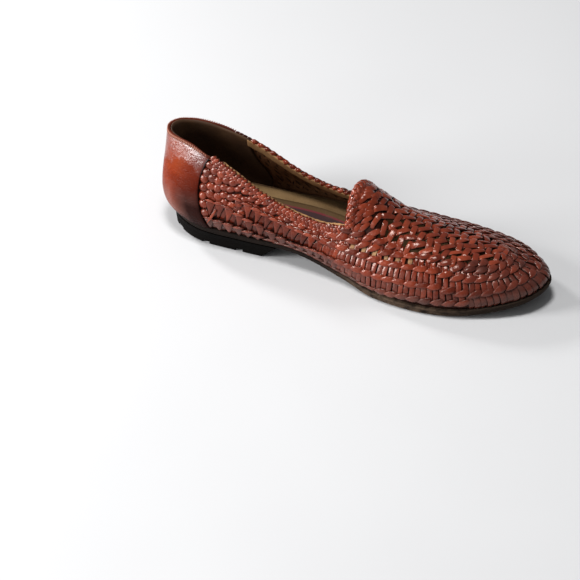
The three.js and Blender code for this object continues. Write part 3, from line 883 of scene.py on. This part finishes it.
def side_weave():
    """Twined rows of leaves round the forefoot with standing strips between them, folded strips
    along the waist, and round beads and knots beside the counter and under the collar."""
    leaves, bands, close, flesh = Weave(), Weave(), Weave(), Weave()
    start = along_foot(1.9)
    for k in range(len(ROWS)):
        s = row_places(start, 0.5 * leaf_pitch(start) * (k % 2))
        s = s + jitter(len(s), 0.35)
        d = row_height(k, s) + jitter(len(s), 0.3)
        reach = tall_at(s) - np.where(from_heel(s) < FRONT_START, 5.2, -0.3)
        keep = (d < reach) & (past_seam(s, d) > 0.3) & (from_heel(s) > ROW_STARTS[k])
        if k == 0:
            keep &= from_heel(s) < TOE_START + 6
        s, d = s[keep], d[keep]
        twined = (openness(s) + jitter(len(s), 0.15) > 0.5) | (d < SOLE_LEAVES)
        lay_leaves(leaves, s[twined], d[twined], ragged=k > 2)
        lay_folds(close, s[~twined], d[~twined])
    for k in range(len(ROWS) - 1):
        s = row_places(start, 0, 0.5) + leaf_pitch(start) * 0.25 * (1 + 2 * (k % 2))
        s = s[from_heel(s) > start]
        every_second = np.arange(len(s)) % 2 == 0
        pale = (k == PALE_ROW) & every_second & (np.abs(s - PALE_MIDDLE) < PALE_REACH)
        lay_bands(bands, k, s[~pale])
        lay_bands(flesh, k, s[pale] + 0.7, slim=0.35)
    for sign in (1, -1):
        lay_beads(close, sign)
    leaves.piece("twined_rows", WOVEN, "woven_leather", "upper")
    bands.piece("standing_strips", WOVEN, "woven_leather", "upper")
    close.piece("close_weave", WOVEN, "woven_leather", "upper")
    flesh.piece("flesh_side_strips", FLESH, "lining_leather", "upper")


def soiled_and_shaded(s, d, depth=14.0):
    """Floor dirt together with painted shade, strongest along the sole, and a toe darkened by wear and
    painted shade.
    """
    floor_dirt_and_shade = (1 - grown(d, 0, depth)) ** 0.7 * 0.85
    return np.clip(np.maximum(floor_dirt_and_shade, 0.5 * toe_share(s)) + jitter(len(d), 0.06), 0, 1)


def lay_leaves(weave, s, d, ragged):
    """Leaves of a twined row, flatter along the sole and ragged in the rows by the vamp."""
    n = len(s)
    low = np.where(d < SOLE_LEAVES, 0.5, 1.0)
    turn = 24 + jitter(n, 16) if ragged else 12 + 6 * toe_share(s) + jitter(n, 5)
    weave.lay(
        SIDE, LEAF, s, d, turn * low,
        (5.0 + jitter(n, 0.35), (2.1 + jitter(n, 0.2)) * (0.4 + 0.6 * low), 0.3, 0.9),
        (0.7 * low, 1.35 * low, -0.15 * low), soiled_and_shaded(s, d), tilt=0.16, flat=3.6, bow=0.1,
    )


def lay_folds(weave, s, d):
    """Strips that come up narrow, spread and fold over into a leaf, with darker ones tucked in
    between them. The dark tones of the tucked strips and the wedges are painted shade, and the
    bright tone of the folded leaves is painted light."""
    n = len(s)
    reach = np.minimum(4.6, d / 2 - 0.1)
    between = s + leaf_pitch(s) / 2 - 0.9
    # The tucked strips' dark tone is painted shade.
    weave.lay(
        SIDE, TUCK, between, d - 1.0 - reach, 74 + jitter(n, 7),
        (reach, 1.9 + jitter(n, 0.2), 0.3, 0.8), (-0.6, -0.45, -0.5), soiled_and_shaded(between, d - 6),
        tone=0.1, wild=0.1, tilt=0.15, flat=3,
    )
    # The wedge's low tone is painted shade under its fold.
    weave.lay(
        SIDE, WEDGE, s - 0.2, d - reach, 95 + jitter(n, 6),
        (reach, 3.2 + jitter(n, 0.25), 0.35, 0.9), (0.25, 0.55, 1.0), soiled_and_shaded(s, d - 3),
        tone=0.24, wild=0.16, tilt=0.3 + jitter(n, 0.2)[:, None], lean=0.2, flat=3.2,
    )
    # The folded leaf's high tone is painted light on the fold.
    weave.lay(
        SIDE, POINTED, s, d + 0.2, 4 + jitter(n, 7),
        (4.2 + jitter(n, 0.3), 1.1 + jitter(n, 0.12), 0.25, 0.9), (0.7, 1.75, 0.4),
        0.6 * soiled_and_shaded(s, d), tone=0.62, tilt=0.3, flat=4, bow=0.6,
    )


def lay_bands(weave, k, s, slim=0.0):
    """Strips that stand between row k and the row above it, or slant up the toe from the sole."""
    toe = (from_heel(s) > TOE_START + 8) & (k == 0)
    low = np.where(toe, 0.3, row_height(k, s))
    room = tall_at(s)
    high = np.minimum(row_height(k + 1, s), room + 0.5)
    middle = (low + high) / 2
    # Every second strip lies 0.3 mm lower, and its darker tone is painted shade.
    under = np.where(np.arange(len(s)) % 2 == 0, 0.0, 0.3)
    keep = (middle < room - 1.5) & (openness(s) > 0.45)
    s, low, high, middle, toe, under = (x[keep] for x in (s, low, high, middle, toe, under))
    n = len(s)
    wide = 1.65 - slim + 0.35 * toe_share(s) * (k == 0)
    weave.lay(
        SIDE, BAND, s + jitter(n, 0.25), middle, np.where(toe, 102.0, 91.0) + jitter(n, 5),
        ((high - low) / 2 + 0.9, wide + jitter(n, 0.15), 0.15, 0.8),
        (-0.4 - under, 0.4 - under, -0.5 - under), np.where(toe, 0.8, soiled_and_shaded(s, middle)),
        tone=0.52 - 0.5 * under, wild=0.12, tilt=jitter(n, 0.15)[:, None], flat=5, arch=3,
    )


BEAD_FIRST = 2.7  # from the seam
BEAD_FIELD = 15  # past the seam, where beads turn into knots over as much again
BEAD_STEP = 5.6
BEAD_DROP = 6.4  # from the rim
BEAD_RISE = 5.6


def in_bead_field(s, d):
    """Above the topmost folded row there is; the rows begin one after another from the counter."""
    near = from_heel(s)
    floor = np.where(near < ROW_STARTS[2] + 1.5, row_height(1, s) + 2.0, row_height(2, s) + 2.6)
    floor = np.where(near < ROW_STARTS[1], row_height(0, s) + 2.4, floor)
    return (d > floor) & (near < FRONT_START - 4)


def lay_beads(weave, sign):
    """Round ends of the close weave, in rows that follow the collar; flatter knots further on."""
    i, j = (grid.ravel() for grid in np.meshgrid(np.arange(22), np.arange(7)))
    seam = INNER_SEAM if sign > 0 else OUTER_SEAM
    d = np.full(len(i), 20.0)
    for _ in range(6):
        s = on_side(np.interp(d, *seam) + BEAD_FIRST + BEAD_STEP * i, sign)
        d = tall_at(s) - BEAD_DROP - BEAD_RISE * (j + 0.25 * (i % 2))
    s, d = s + jitter(len(s), 0.4), d + jitter(len(d), 0.4)
    keep = in_bead_field(s, d)
    s, d = s[keep], d[keep]
    n = len(s)
    knot = grown(past_seam(s, d), BEAD_FIELD, BEAD_FIELD)
    weave.lay(
        SIDE, BEAD, s, d, -10 + 22 * knot + jitter(n, 22),
        (2.95 + jitter(n, 0.25), 2.75 - 0.75 * knot + jitter(n, 0.25), 0.75, 1.0),
        (-0.45, 0.15 + 0.25 * knot, -0.45), soiled_and_shaded(s, d, 16), flat=3.0,
    )
    for k, last in ((1, ROW_STARTS[2]), (2, FRONT_START - 6)):
        s = on_side(np.arange(ROW_STARTS[k] + 3, last, 3.9), sign)
        n = len(s)
        weave.lay(
            SIDE, BEAD, s + jitter(n, 0.5), row_height(k, s) + 2.4 + jitter(n, 0.3), jitter(n, 25),
            (2.4 + jitter(n, 0.3), 1.6 + jitter(n, 0.2), 0.6, 0.9), (-0.5, -0.05, -0.5),
            tone=0.4, flat=3.0,
        )


CROWN_ENDS = (BACK_COLUMNS + 0.3, SIDE_COLUMNS - 0.8)  # columns that the plait reaches


def crown_place(x, y):
    """Column and share across of the vamp's point that lies over (x, y) in plan."""
    x, y = np.broadcast_arrays(np.asarray(x, float), np.asarray(y, float))
    spine = np.linspace(BACK_COLUMNS, CROWN_ENDS[1], 73)
    c = np.interp(x, vamp(spine, 0.5)[:, 0], spine)
    q = np.full(c.shape, 0.5)
    for _ in range(9):
        miss = np.stack([x, y], -1) - vamp(c, q)[..., :2]
        by_c, by_q = (slope[..., :2] for slope in slopes(VAMP, c, q))
        area = by_c[..., 0] * by_q[..., 1] - by_c[..., 1] * by_q[..., 0]
        c = c + (miss[..., 0] * by_q[..., 1] - miss[..., 1] * by_q[..., 0]) / area
        q = q + (by_c[..., 0] * miss[..., 1] - by_c[..., 1] * miss[..., 0]) / area
        c = np.clip(c, *CROWN_ENDS)
        q = np.clip(q, -0.1, 1.1)
    return c, q


def crown(x, y):
    """The vamp's middle, by its place in plan."""
    return vamp(*crown_place(x, y))


CROWN = (crown, (0.4, 0.4))
PLAIT_PITCH = 7.5
PLAIT_TURN = 44  # degrees from the shoe's length to the first set of strips
PLAIT_CROSS = (84, 106)  # the crossing set, at the throat and at the toe
PLAIT_ENDS = ((76.6, 0.8, False), (77.4, 0.35, False), (75.2, 0.9, True))  # column, share, slanted


def vamp_plait():
    """Plain plait over the middle of the vamp: one set of strips on the slant, one across."""
    plait = Weave()
    i, j = (grid.ravel() for grid in np.meshgrid(np.arange(-24, 25), np.arange(-24, 25)))
    lean, square = np.radians(PLAIT_TURN), np.radians(sum(PLAIT_CROSS) / 2)
    middle = vamp(BACK_COLUMNS + 0.5 * FRONT_COLUMNS, 0.5)
    x = middle[0] + PLAIT_PITCH * (i * np.cos(lean) + j * np.cos(square))
    y = middle[1] + PLAIT_PITCH * 0.9 * (i * np.sin(lean) + j * np.sin(square))
    c, q = crown_place(x, y)
    over = np.linalg.norm(vamp(c, q)[:, :2] - np.stack([x, y], -1), axis=1) < 0.3
    keep = over & (c > BACK_COLUMNS + 3.7) & (c < SIDE_COLUMNS - 1.0) & (q > -0.02) & (q < 1.02)
    columns, shares, slanted = zip(*PLAIT_ENDS)
    ends = vamp(columns, shares)
    x = np.concatenate([x[keep], ends[:, 0]])
    y = np.concatenate([y[keep], ends[:, 1]])
    c = np.concatenate([c[keep], columns])
    first = np.concatenate([((i + j) % 2 == 0)[keep], slanted])
    n = len(x)
    share = (c - BACK_COLUMNS) / FRONT_COLUMNS
    cross = PLAIT_CROSS[0] + (PLAIT_CROSS[1] - PLAIT_CROSS[0]) * share
    turn = np.where(first, PLAIT_TURN, cross) + luck.normal(0, 7, n)
    plait.lay(
        CROWN, LONG_BAND, x + jitter(n, 0.4), y + jitter(n, 0.4), turn,
        (6.2 + jitter(n, 0.6), 1.85 + jitter(n, 0.25), 0.2, 0.8), (-1.0, 0.8, -1.0), 0.12,
        tone=0.68, tilt=jitter(n, 0.3)[:, None], arch=5, flat=5,
    )
    plait.piece("vamp_plait", WOVEN, "woven_leather", "upper")


def rolled_edge(path, ahead, upright, radius):
    """A round edge along a path: first direction along it, second round it, in millimetres."""

    def surface(u, v):
        u, v = np.broadcast_arrays(np.asarray(u, float), np.asarray(v, float))
        angle = v / radius
        return (
            path(u)
            + radius * np.cos(angle)[..., None] * upright(u)
            + radius * np.sin(angle)[..., None] * ahead(u)
        )

    return surface


THROAT_ROLL = 2.9
BRAID_PITCH = 4.2
# Rows of the braid: angle round the roll, turn of the leaves, and shift as a share of the pitch.
BRAID_ROWS = ((-72, -38, 0.0), (-30, 34, 0.5), (12, -36, 0.0), (54, 34, 0.5), (98, -34, 0.0))
FRONT_ROWS = ((0.7, 0.25), (1.9, 0.0), (3.4, 0.5))  # columns in front of the throat, and shift
FRONT_COUNT = 17


def throat_edge():
    """Surface of the roll along the throat, and its length."""
    q_marks = np.linspace(0, 1, 121)
    edge = vamp(float(BACK_COLUMNS), q_marks)
    run = lengths_along(edge)
    length = run[-1]

    def on_vamp(u, column):
        return BACK_COLUMNS + column + 0 * u, np.interp(u, run, q_marks)

    def upright(u):
        return normal(VAMP, *on_vamp(u, 0.4))

    def ahead(u):
        return unit(vamp(*on_vamp(u, 1.0)) - vamp(*on_vamp(u, 0.0)))

    def path(u):
        back = 3.0 * np.sin(np.pi * grown(u, 0, length))[..., None]
        return vamp(*on_vamp(u, 0.8)) - 1.2 * upright(u) - back * ahead(u)

    return rolled_edge(path, lambda u: -ahead(u), upright, THROAT_ROLL), length


THROAT_SURFACE, THROAT_LENGTH = throat_edge()
THROAT = (THROAT_SURFACE, (0.5, 0.5))


def throat_braid():
    """Thick braid rolled over the edge of the throat, with close braiding in front of it."""
    braid = Weave()
    for angle, turn, shift in BRAID_ROWS:
        u = np.arange(1.0 + BRAID_PITCH * shift, THROAT_LENGTH, BRAID_PITCH)
        n = len(u)
        braid.lay(
            THROAT, LEAF, u + jitter(n, 0.4), np.radians(angle) * THROAT_ROLL + jitter(n, 0.3),
            turn + jitter(n, 9), (3.3 + jitter(n, 0.3), 1.5 + jitter(n, 0.2), 0.5, 1.1),
            (0.1, 0.75, -0.5), flat=3,
        )
    for column, shift in FRONT_ROWS:
        q = (np.arange(FRONT_COUNT) + shift + 0.2) / FRONT_COUNT
        n = len(q)
        braid.lay(
            VAMP, LEAF, BACK_COLUMNS + column + jitter(n, 0.25), q, 62 + jitter(n, 14),
            (4.9 + jitter(n, 0.5), 1.75 + jitter(n, 0.25), 0.2, 0.9), (-0.5, 0.9, 0.0),
            tilt=0.3, flat=4.5,
        )
    braid.piece("throat_braid", WOVEN, "woven_leather", "upper")


def throat_roll():
    """The core that the braid is laid round."""

    def place(a, b):
        return THROAT_SURFACE(0.4 + a * (THROAT_LENGTH - 0.8), (b * 2 - 1) * np.pi * THROAT_ROLL)

    core = closed(shaped_grid("throat_roll", 80, 12, place))
    woven_marks(core)
    # The core's near-black finish is painted shade between the braid's leaves.
    finish_piece(core, [CREVICE_SHADE_LEATHER], "upper")


def finish_backing(piece, thick, slit=0.0):
    """The strips' passes behind the weave: near-black painted crevice shade outside, suede inside."""
    woven_marks(piece, slit)
    piece.data.materials.append(CREVICE_SHADE_LEATHER)
    piece.data.materials.append(SUEDE)
    apply(piece, "SOLIDIFY", thickness=thick / 1000, offset=-1, material_offset=1, material_offset_rim=1)
    finish_piece(piece, [], "upper")


def throat_backing():
    """The passes behind the braiding in front of the throat."""

    def place(a, b):
        return raised(VAMP, BACK_COLUMNS + 0.1 + 6.1 * a, b, -0.5)

    finish_backing(shaped_grid("throat_backing", 8, 40, place), 1.2)


# Stations of the trimmings along the collar.
KNOTS_BEGIN, ROLL_BEGIN, TAPE_BEGIN, COLLAR_END = 2.54, 2.8, 2.78, 5.98
LINING_REACH = 2.85
STITCH_REACH = 2.45
KNOT_ROWS = ((-0.3, 2.9, 30), (-2.3, 3.1, -24), (-4.4, 3.6, 24))  # rise over the rim, pitch, turn
COLLAR_ROLL = 1.5


def collar_knots():
    """Small knots that bind the collar between the counter and the throat, rolled over to the
    inside along the outer rim."""
    knots = Weave()
    begin, end = along_foot(KNOTS_BEGIN), along_foot(COLLAR_END)
    for sign in (1, -1):
        for rise, pitch, turn in KNOT_ROWS:
            s = on_side(np.arange(begin - rise * 0.6, end, pitch), sign)
            n = len(s)
            knots.lay(
                SIDE, LEAF, s + jitter(n, 0.4), tall_at(s) + rise + jitter(n, 0.2),
                turn + jitter(n, 9), (2.5 + jitter(n, 0.3), 1.25 + jitter(n, 0.15), 0.45, 0.9),
                (-0.2, 0.3, -0.5), flat=3,
            )
    roll = rolled_edge(
        lambda s: raised(SIDE, s, tall_at(s) - 0.5, -0.9),
        lambda s: -normal(SIDE, s, tall_at(s) - 0.8),
        lambda s: unit(side(s, tall_at(s)) - side(s, tall_at(s) - 1)),
        COLLAR_ROLL,
    )
    s = np.arange(ROUND_LENGTH - end, ROUND_LENGTH - along_foot(ROLL_BEGIN), 4.8)
    n = len(s)
    knots.lay(
        (roll, (0.5, 0.3)), LEAF, s + jitter(n, 0.4), np.radians(6) * COLLAR_ROLL + jitter(n, 0.15),
        24 + jitter(n, 8), (3.1 + jitter(n, 0.3), 1.5 + jitter(n, 0.15), 0.6, 0.8),
        (-0.7, 0.5, -0.9), flat=3,
    )
    knots.piece("collar_knots", WOVEN, "woven_leather", "upper")


def side_backing():
    """The passes behind the side's weave, with the slits between them inside."""
    columns, rows = 300, 24

    def place(a, b):
        begin = along_foot(seam_station(b) - 0.1)
        s = begin + a * (ROUND_LENGTH - 2 * begin)
        top = np.where(from_heel(s) < FRONT_START + 2, 1.0, 0.93)
        return raised(SIDE, s, 0.2 + b * (tall_at(s) * top - 1.4), -0.55)

    piece = shaped_grid("side_backing", columns, rows, place)
    number = np.arange(len(piece.data.vertices))
    column, up = number % (columns + 1), number // (columns + 1)
    slit = ((column + (up // 4) * 2) % 4 < 1) & (up % 4 < 3) & (up > 1) & (up < rows - 3)
    finish_backing(piece, 1.3, slit)


def counter_panel():
    """Smooth panel round the heel with a folded top edge and soft wrinkles by the seams."""

    def place(a, b):
        w = np.clip(0.02 + 0.985 * b, 0, 1)
        t = np.mod((2 * a - 1) * seam_station(w), LOOP)
        run = wall(t + TINY_STEP, w) - wall(t - TINY_STEP, w)
        out = unit(np.cross(run, climb_at(t, w)))
        edge = np.abs(2 * a - 1)
        ripple = 0.3 * np.sin(38 * a + 9 * b) * np.sin(23 * b + 5 * a) * grown(1.5 * edge, 0.4, 1) * b
        sag_line = 0.72 + 0.1 * np.sin(9 * a)
        sag = 0.35 * np.exp(-(((edge - 0.8) / 0.12) ** 2) - ((b - sag_line) / 0.07) ** 2)
        round_side = grown(edge, 0, 0.65) ** 2
        swell = 1.8 * np.sin(np.pi * grown(b, 0, 0.85)) * (1 - edge**6) * round_side
        straight_back = -0.7 * np.sin(np.pi * grown(b, 0.15, 0.75)) * (1 - grown(edge, 0, 0.7))
        fold = -0.6 * grown(b, 0.93, 0.07) ** 2
        turn_in = -0.7 * grown(edge, 0.975, 0.025) ** 2
        offset = GAP + 1.3 + ripple - sag + swell + straight_back + fold + turn_in
        return wall(t, w) + out * offset[..., None]

    piece = shaped_grid("counter_panel", 140, 44, place)
    apply(piece, "SOLIDIFY", thickness=0.0015, offset=-1, use_even_offset=True, material_offset=1)
    apply(piece, "BEVEL", width=0.00035, segments=3, limit_method="ANGLE", angle_limit=0.9)
    finish_piece(piece, [COUNTER, COUNTER], "counter")


def heel_lining():
    """Lining leather inside the heel, hollowed along its foot, that runs on past the seams."""

    def place(a, b):
        t = np.mod((2 * a - 1) * LINING_REACH, LOOP)
        inner = grown(a, 0.42, 0.15)
        ahead = grown(np.abs(2 * a - 1) * LINING_REACH, 2.15, 0.25)
        short = 0.75 + 0.6 * inner + grown(a, 0.72, 0.1) - 1.5 * ahead * (1 - inner)
        d = 0.6 + b * (wall_height(t) - short)
        at_foot = grown(1 - b, 0, 0.2) ** 0.7
        hollow = -0.5 - 1.6 * np.maximum(ahead * (1 - 0.4 * b**8), at_foot)
        points = raised(SIDE, along_foot(t), d, hollow - 0.15 * np.sin(14 * a) * np.sin(9 * b))
        points[..., 2] -= 2.4 * (1 - grown(b, 0, 0.08))
        return points

    piece = shaped_grid("heel_lining", 90, 26, place)
    apply(piece, "SOLIDIFY", thickness=0.0008, offset=-1)
    finish_piece(piece, [LINING], "topline_tape")


TAPE_WIDTH = 4.6
# Name, side, height over the rim, offset from the wall at the foot, and what it gains up to the top.
COLLAR_TAPES = (
    ("collar_tape_inner", 1, 1.7, -1.35, 0.45),
    ("collar_tape_outer", -1, 0.6, -1.8, 0.3),
)


def collar_tape(name, sign, over, low, gain):
    """Suede tape inside the collar, its raw edge just over the knots."""
    begin, end = along_foot(TAPE_BEGIN), along_foot(COLLAR_END)

    def place(a, b):
        s = on_side(begin + a * (end - begin), sign)
        wave = 0.2 * np.sin(90 * a) * np.sin(41 * a)
        return raised(SIDE, s, tall_at(s) - TAPE_WIDTH + b * (TAPE_WIDTH + over) + wave, low + gain * b)

    piece = shaped_grid(name, 120, 6, place)
    if sign < 0:
        turned_over(piece)  # its grid runs the other way round
    apply(piece, "SOLIDIFY", thickness=0.0011, offset=-1)
    finish_piece(piece, [TAPE], "topline_tape")


# Slabs: rings round the shoe, closed along its middle line above and below.
FINE_IN, FINE_OUT = stations_of(np.linspace(0, SIDE_COLUMNS, 161))
ROUND_T = np.concatenate([FINE_IN, FINE_OUT[::-1][1:]])
ROUND_PARTNER = np.concatenate([FINE_OUT, FINE_IN[::-1][1:]])


def slab(name, rings):
    """rings go from the middle of the underside to the middle of the top. Each is a margin from the
    feather line and a function that gives the height at a station."""
    columns = len(ROUND_T) - 1
    rows = len(rings) + 1

    def place(a, b):
        i = np.rint(a * columns).astype(int)
        j = np.rint(b * rows).astype(int)
        points = np.empty((len(a), 3))
        for r in range(rows + 1):
            margin, height = rings[min(max(r - 1, 0), len(rings) - 1)]
            t = ROUND_T[i[j == r]]
            ring_points = foot(t) + outward(t) * margin
            if r in (0, rows):
                partner = ROUND_PARTNER[i[j == r]]
                ring_points = (ring_points + foot(partner) + outward(partner) * margin) / 2
                ring_points[:, 2] = (height(t) + height(partner)) / 2
            else:
                ring_points[:, 2] = height(t)
            points[j == r] = ring_points
        return points

    return closed(shaped_grid(name, columns, rows, place))


# Profiles of the edges, as margins from the feather line with a height.
SOLE_LOW_EDGE = ((-4.0, 0), (-0.9, 0), (-0.1, 0.25), (0.35, 0.8), (0.5, 1.4))  # over the tread
SOLE_LIP = (  # below the sole's top
    (0.5, 2.2), (0.75, 1.8), (1.15, 1.45), (SOLE_LIP_EDGE, 1.1), (SOLE_LIP_EDGE, 0.3), (0.9, 0), (-2.0, 0)
)
HEEL_SIDE = (  # shares of the heel's height
    (-4, 0), (-1.0, 0), (-0.6, 0.05), (-0.1, 0.5), (0.1, 0.66),
    (-0.1, 0.7), (0.2, 0.74), (0.4, 0.97), (0.2, 1), (-3, 1),
)
HEEL_LEAST = 1.2
GROOVES = (13, 35, 58)
GROOVE_WIDTH, GROOVE_TALL = 5, 4
BREAST_FOOT, BREAST_TOP, BREAST_HEIGHT = 73, 83, 9.0
BREAST_CUT = 300


def outsole():
    """Full-length sole with a lip along its top edge."""

    def over_tread(rise):
        return lambda t: tread_height(t) + rise

    def under_top(drop):
        return lambda t: foot_height(t) - GAP - drop

    rings = [(margin, over_tread(rise)) for margin, rise in SOLE_LOW_EDGE]
    rings += [(margin, under_top(drop)) for margin, drop in SOLE_LIP]
    finish_piece(slab("outsole_edge", rings), [OUTSOLE], "outsole")


def heel():
    """Low heel with grooves across its tread and a slanted breast."""

    def heel_share(share):
        return lambda t: np.maximum(HEEL_LEAST, tread_height(t) - GAP) * share

    lift = slab("heel_lift", [(margin, heel_share(share)) for margin, share in HEEL_SIDE])
    cutters = [block(x, GROOVE_WIDTH, GROOVE_TALL) for x in GROOVES]
    breast = block(BREAST_FOOT + BREAST_CUT / 2, BREAST_CUT, 60)
    slant(breast, BREAST_FOOT, BREAST_TOP, BREAST_HEIGHT)
    for cutter in (*cutters, breast):
        apply(lift, "BOOLEAN", object=cutter, operation="DIFFERENCE", solver="EXACT")
        bpy.data.objects.remove(cutter)
    apply(lift, "BEVEL", width=0.0003, segments=2, limit_method="ANGLE", angle_limit=0.7)
    finish_piece(lift, [HEEL], "heel_block")


def block(x, width, tall):
    """A cutter across the heel, its middle at x on the floor."""
    fresh()
    middle = row(np.array([x, 0, 0]))
    bpy.ops.mesh.primitive_cube_add(size=1, location=middle)
    cutter = bpy.context.object
    cutter.scale = (width / 1000, 0.2, tall / 1000)
    bpy.ops.object.transform_apply(location=True, rotation=True, scale=True)
    return cutter


def slant(cutter, foot_x, top_x, height):
    """The cutter's back face leans from foot_x at the floor to top_x at the heel's top."""
    for vertex in cutter.data.vertices:
        if vertex.co.x < row(np.array([foot_x + BREAST_CUT / 2, 0, 0]))[0]:
            z = vertex.co.z * 1000
            vertex.co.x = row(np.array([foot_x + (top_x - foot_x) * z / height, 0, 0]))[0]


SOCK_EDGE = INSOLE_EDGE - SOCK_MARGIN
SOCK_FOOT = INSOLE_THICK + GAP
SOCK_TOP = SOCK_FOOT + SOCK_THICK


def footbed_slab(name, profile):
    """A slab from margins with heights over the feather line."""

    def over_foot(rise):
        return lambda t: foot_height(t) + rise

    return slab(name, [(margin, over_foot(rise)) for margin, rise in profile])


def insole():
    """Board with a brown edge that is rounded on top."""
    edge, top = INSOLE_EDGE, INSOLE_THICK
    board = footbed_slab(
        "insole_board", ((edge - 2, 0), (edge, 0), (edge, top - 0.4), (edge - 0.4, top), (edge - 3, top))
    )
    finish_piece(board, [INSOLE], "insole")


def sock():
    """Leather sock on the insole, a little hollow."""
    edge, low, top = SOCK_EDGE, SOCK_FOOT, SOCK_TOP
    leather = footbed_slab(
        "sock_lining",
        ((edge - 2, low), (edge, low), (edge, top - 0.35), (edge - 0.4, top), (edge - 3, top - 0.05)),
    )
    finish_piece(leather, [SOCK], "sock")


def sock_ribbon():
    """Ribbon along the middle of the sock."""
    length = RIBBON["front"] - RIBBON["back"]

    def place(a, b):
        t_in, t_out = stations_of(np.linspace(0, SIDE_COLUMNS, 321))
        inner = foot(t_in) + outward(t_in) * SOCK_EDGE
        outer = foot(t_out) + outward(t_out) * SOCK_EDGE
        middle = (inner + outer) / 2
        order = np.argsort(middle[:, 0])

        def pick(points):
            x = RIBBON["back"] + a * length
            return np.stack([np.interp(x, middle[order, 0], points[order, k]) for k in range(3)], -1)

        points = pick(middle) + unit(pick(outer - inner)) * ((b - 0.5) * RIBBON["width"])[:, None]
        points[:, 2] += SOCK_TOP + GAP + RIBBON["thick"]
        return points

    ribbon = shaped_grid("sock_ribbon", 60, 10, place)
    apply(ribbon, "SOLIDIFY", thickness=RIBBON["thick"] / 1000, offset=-1)
    finish_piece(ribbon, [RIBBON_CLOTH], "sock_inlay")


def counter_stitches():
    """Machine stitches under the counter's top edge."""
    stitches = Weave()

    def collar_skin(s, down):
        s = np.mod(np.asarray(s, float), ROUND_LENGTH)
        return raised(SIDE, s, tall_at(s) - down, GAP + 1.2)

    reach = along_foot(STITCH_REACH)
    s = np.arange(-reach, reach, 1.7)
    stitches.lay(
        (collar_skin, (0.3, 0.3)), THREAD_STITCH, s, 1.35, 62 + jitter(len(s), 8),
        (1.15, 0.45, 0.25, 0.3), (0.0, 0.3, 0.0),
    )
    stitches.piece("counter_stitches", STITCH, "counter_leather", "counter")


# Height, distance past the seam and turn of each tucked end, and place and turn of the loose one.
TUCKED_ENDS = ((2.4, 2.4, 20), (6.2, 2.4, -15), (10.0, 2.4, 10), (12.2, 7.4, -20), (16.0, 7.8, 15))
LOOSE_END = (54.0, 11.2, 61.0)


def strip_ends():
    """Ends tucked in at the foot of the outer seam, and the one that came loose by the inner seam."""
    ends = Weave()
    d, past, turn = np.array(TUCKED_ENDS).T
    s = ROUND_LENGTH - np.interp(d, *OUTER_SEAM) - past
    ends.lay(
        SIDE, BEAD, s, d, turn, (2.6, 2.3, 0.6, 0.9), (-0.4, 0.1, -0.4), soiled_and_shaded(s, d),
        tone=0.35, flat=3.0,
    )
    s, d, turn = (np.array([value]) for value in LOOSE_END)
    ends.lay(
        SIDE, LEAF, s, d, turn, (6.4, 0.85, 0.2, 0.4), (1.3, 1.9, 1.7), tone=0.95, flat=3.0
    )
    ends.piece("strip_ends", WOVEN, "woven_leather", "upper")


side_weave()
vamp_plait()
throat_braid()
throat_roll()
throat_backing()
collar_knots()
side_backing()
counter_panel()
counter_stitches()
heel_lining()
for tape in COLLAR_TAPES:
    collar_tape(*tape)
outsole()
heel()
insole()
sock()
sock_ribbon()
strip_ends()


# Floor, light and camera


def floor():
    fresh()
    bpy.ops.mesh.primitive_plane_add(size=8)
    piece = bpy.context.object
    piece.name = "studio_floor"
    f = Finish("pale_floor", rough=0.6)
    piece.data.materials.append(
        f.done(f.ramp(f.noise(3, 3), [(0.3, (0.57, 0.57, 0.575)), (0.7, (0.6, 0.6, 0.605))]))
    )


def stand(name, data, place, look):
    """A lamp or camera at a place, looking along a direction."""
    holder = bpy.data.objects.new(name, data)
    bpy.context.scene.collection.objects.link(holder)
    holder.location = place
    holder.rotation_euler = look.to_track_quat("-Z", "Y").to_euler()
    return holder


LIGHTS_AIM = Vector((0.02, 0, 0.03))
SOFT_LIGHTS = (  # name, place, size, power
    ("window_left", (-1.05, -0.8, 0.5), (0.4, 0.8), 23),
    ("sky_panel", (-0.05, -0.25, 1.6), (0.4, 0.4), 19),
    ("front_fill", (-0.4, -1.6, 0.7), (0.8, 0.8), 3),
    ("window_behind", (-1.1, 0.4, 0.65), (0.18, 0.2), 10),
)


def studio():
    world = bpy.data.worlds.new("studio_air")
    bpy.context.scene.world = world
    world.use_nodes = True
    air = world.node_tree.nodes["Background"].inputs
    air["Color"].default_value = (0.9, 0.92, 0.95, 1)
    air["Strength"].default_value = 0.15
    for name, place, size, power in SOFT_LIGHTS:
        lamp = bpy.data.lights.new(name, "AREA")
        lamp.shape = "RECTANGLE"
        lamp.size, lamp.size_y = size
        lamp.energy = power
        stand(name, lamp, place, LIGHTS_AIM - Vector(place))


CAMERA_PLACE = np.array([711.14, -1410.65, 1115.25])
CAMERA_LOOK = Vector((-0.32621, 0.73084, -0.59955))
CAMERA_LENS = 185.1


def camera():
    data = bpy.data.cameras.new("photo_camera")
    data.lens = CAMERA_LENS
    data.sensor_width = 36
    data.clip_end = 20
    bpy.context.scene.camera = stand("photo_camera", data, row(CAMERA_PLACE), CAMERA_LOOK)


floor()
studio()
camera()
bpy.context.scene.view_settings.view_transform = "Standard"
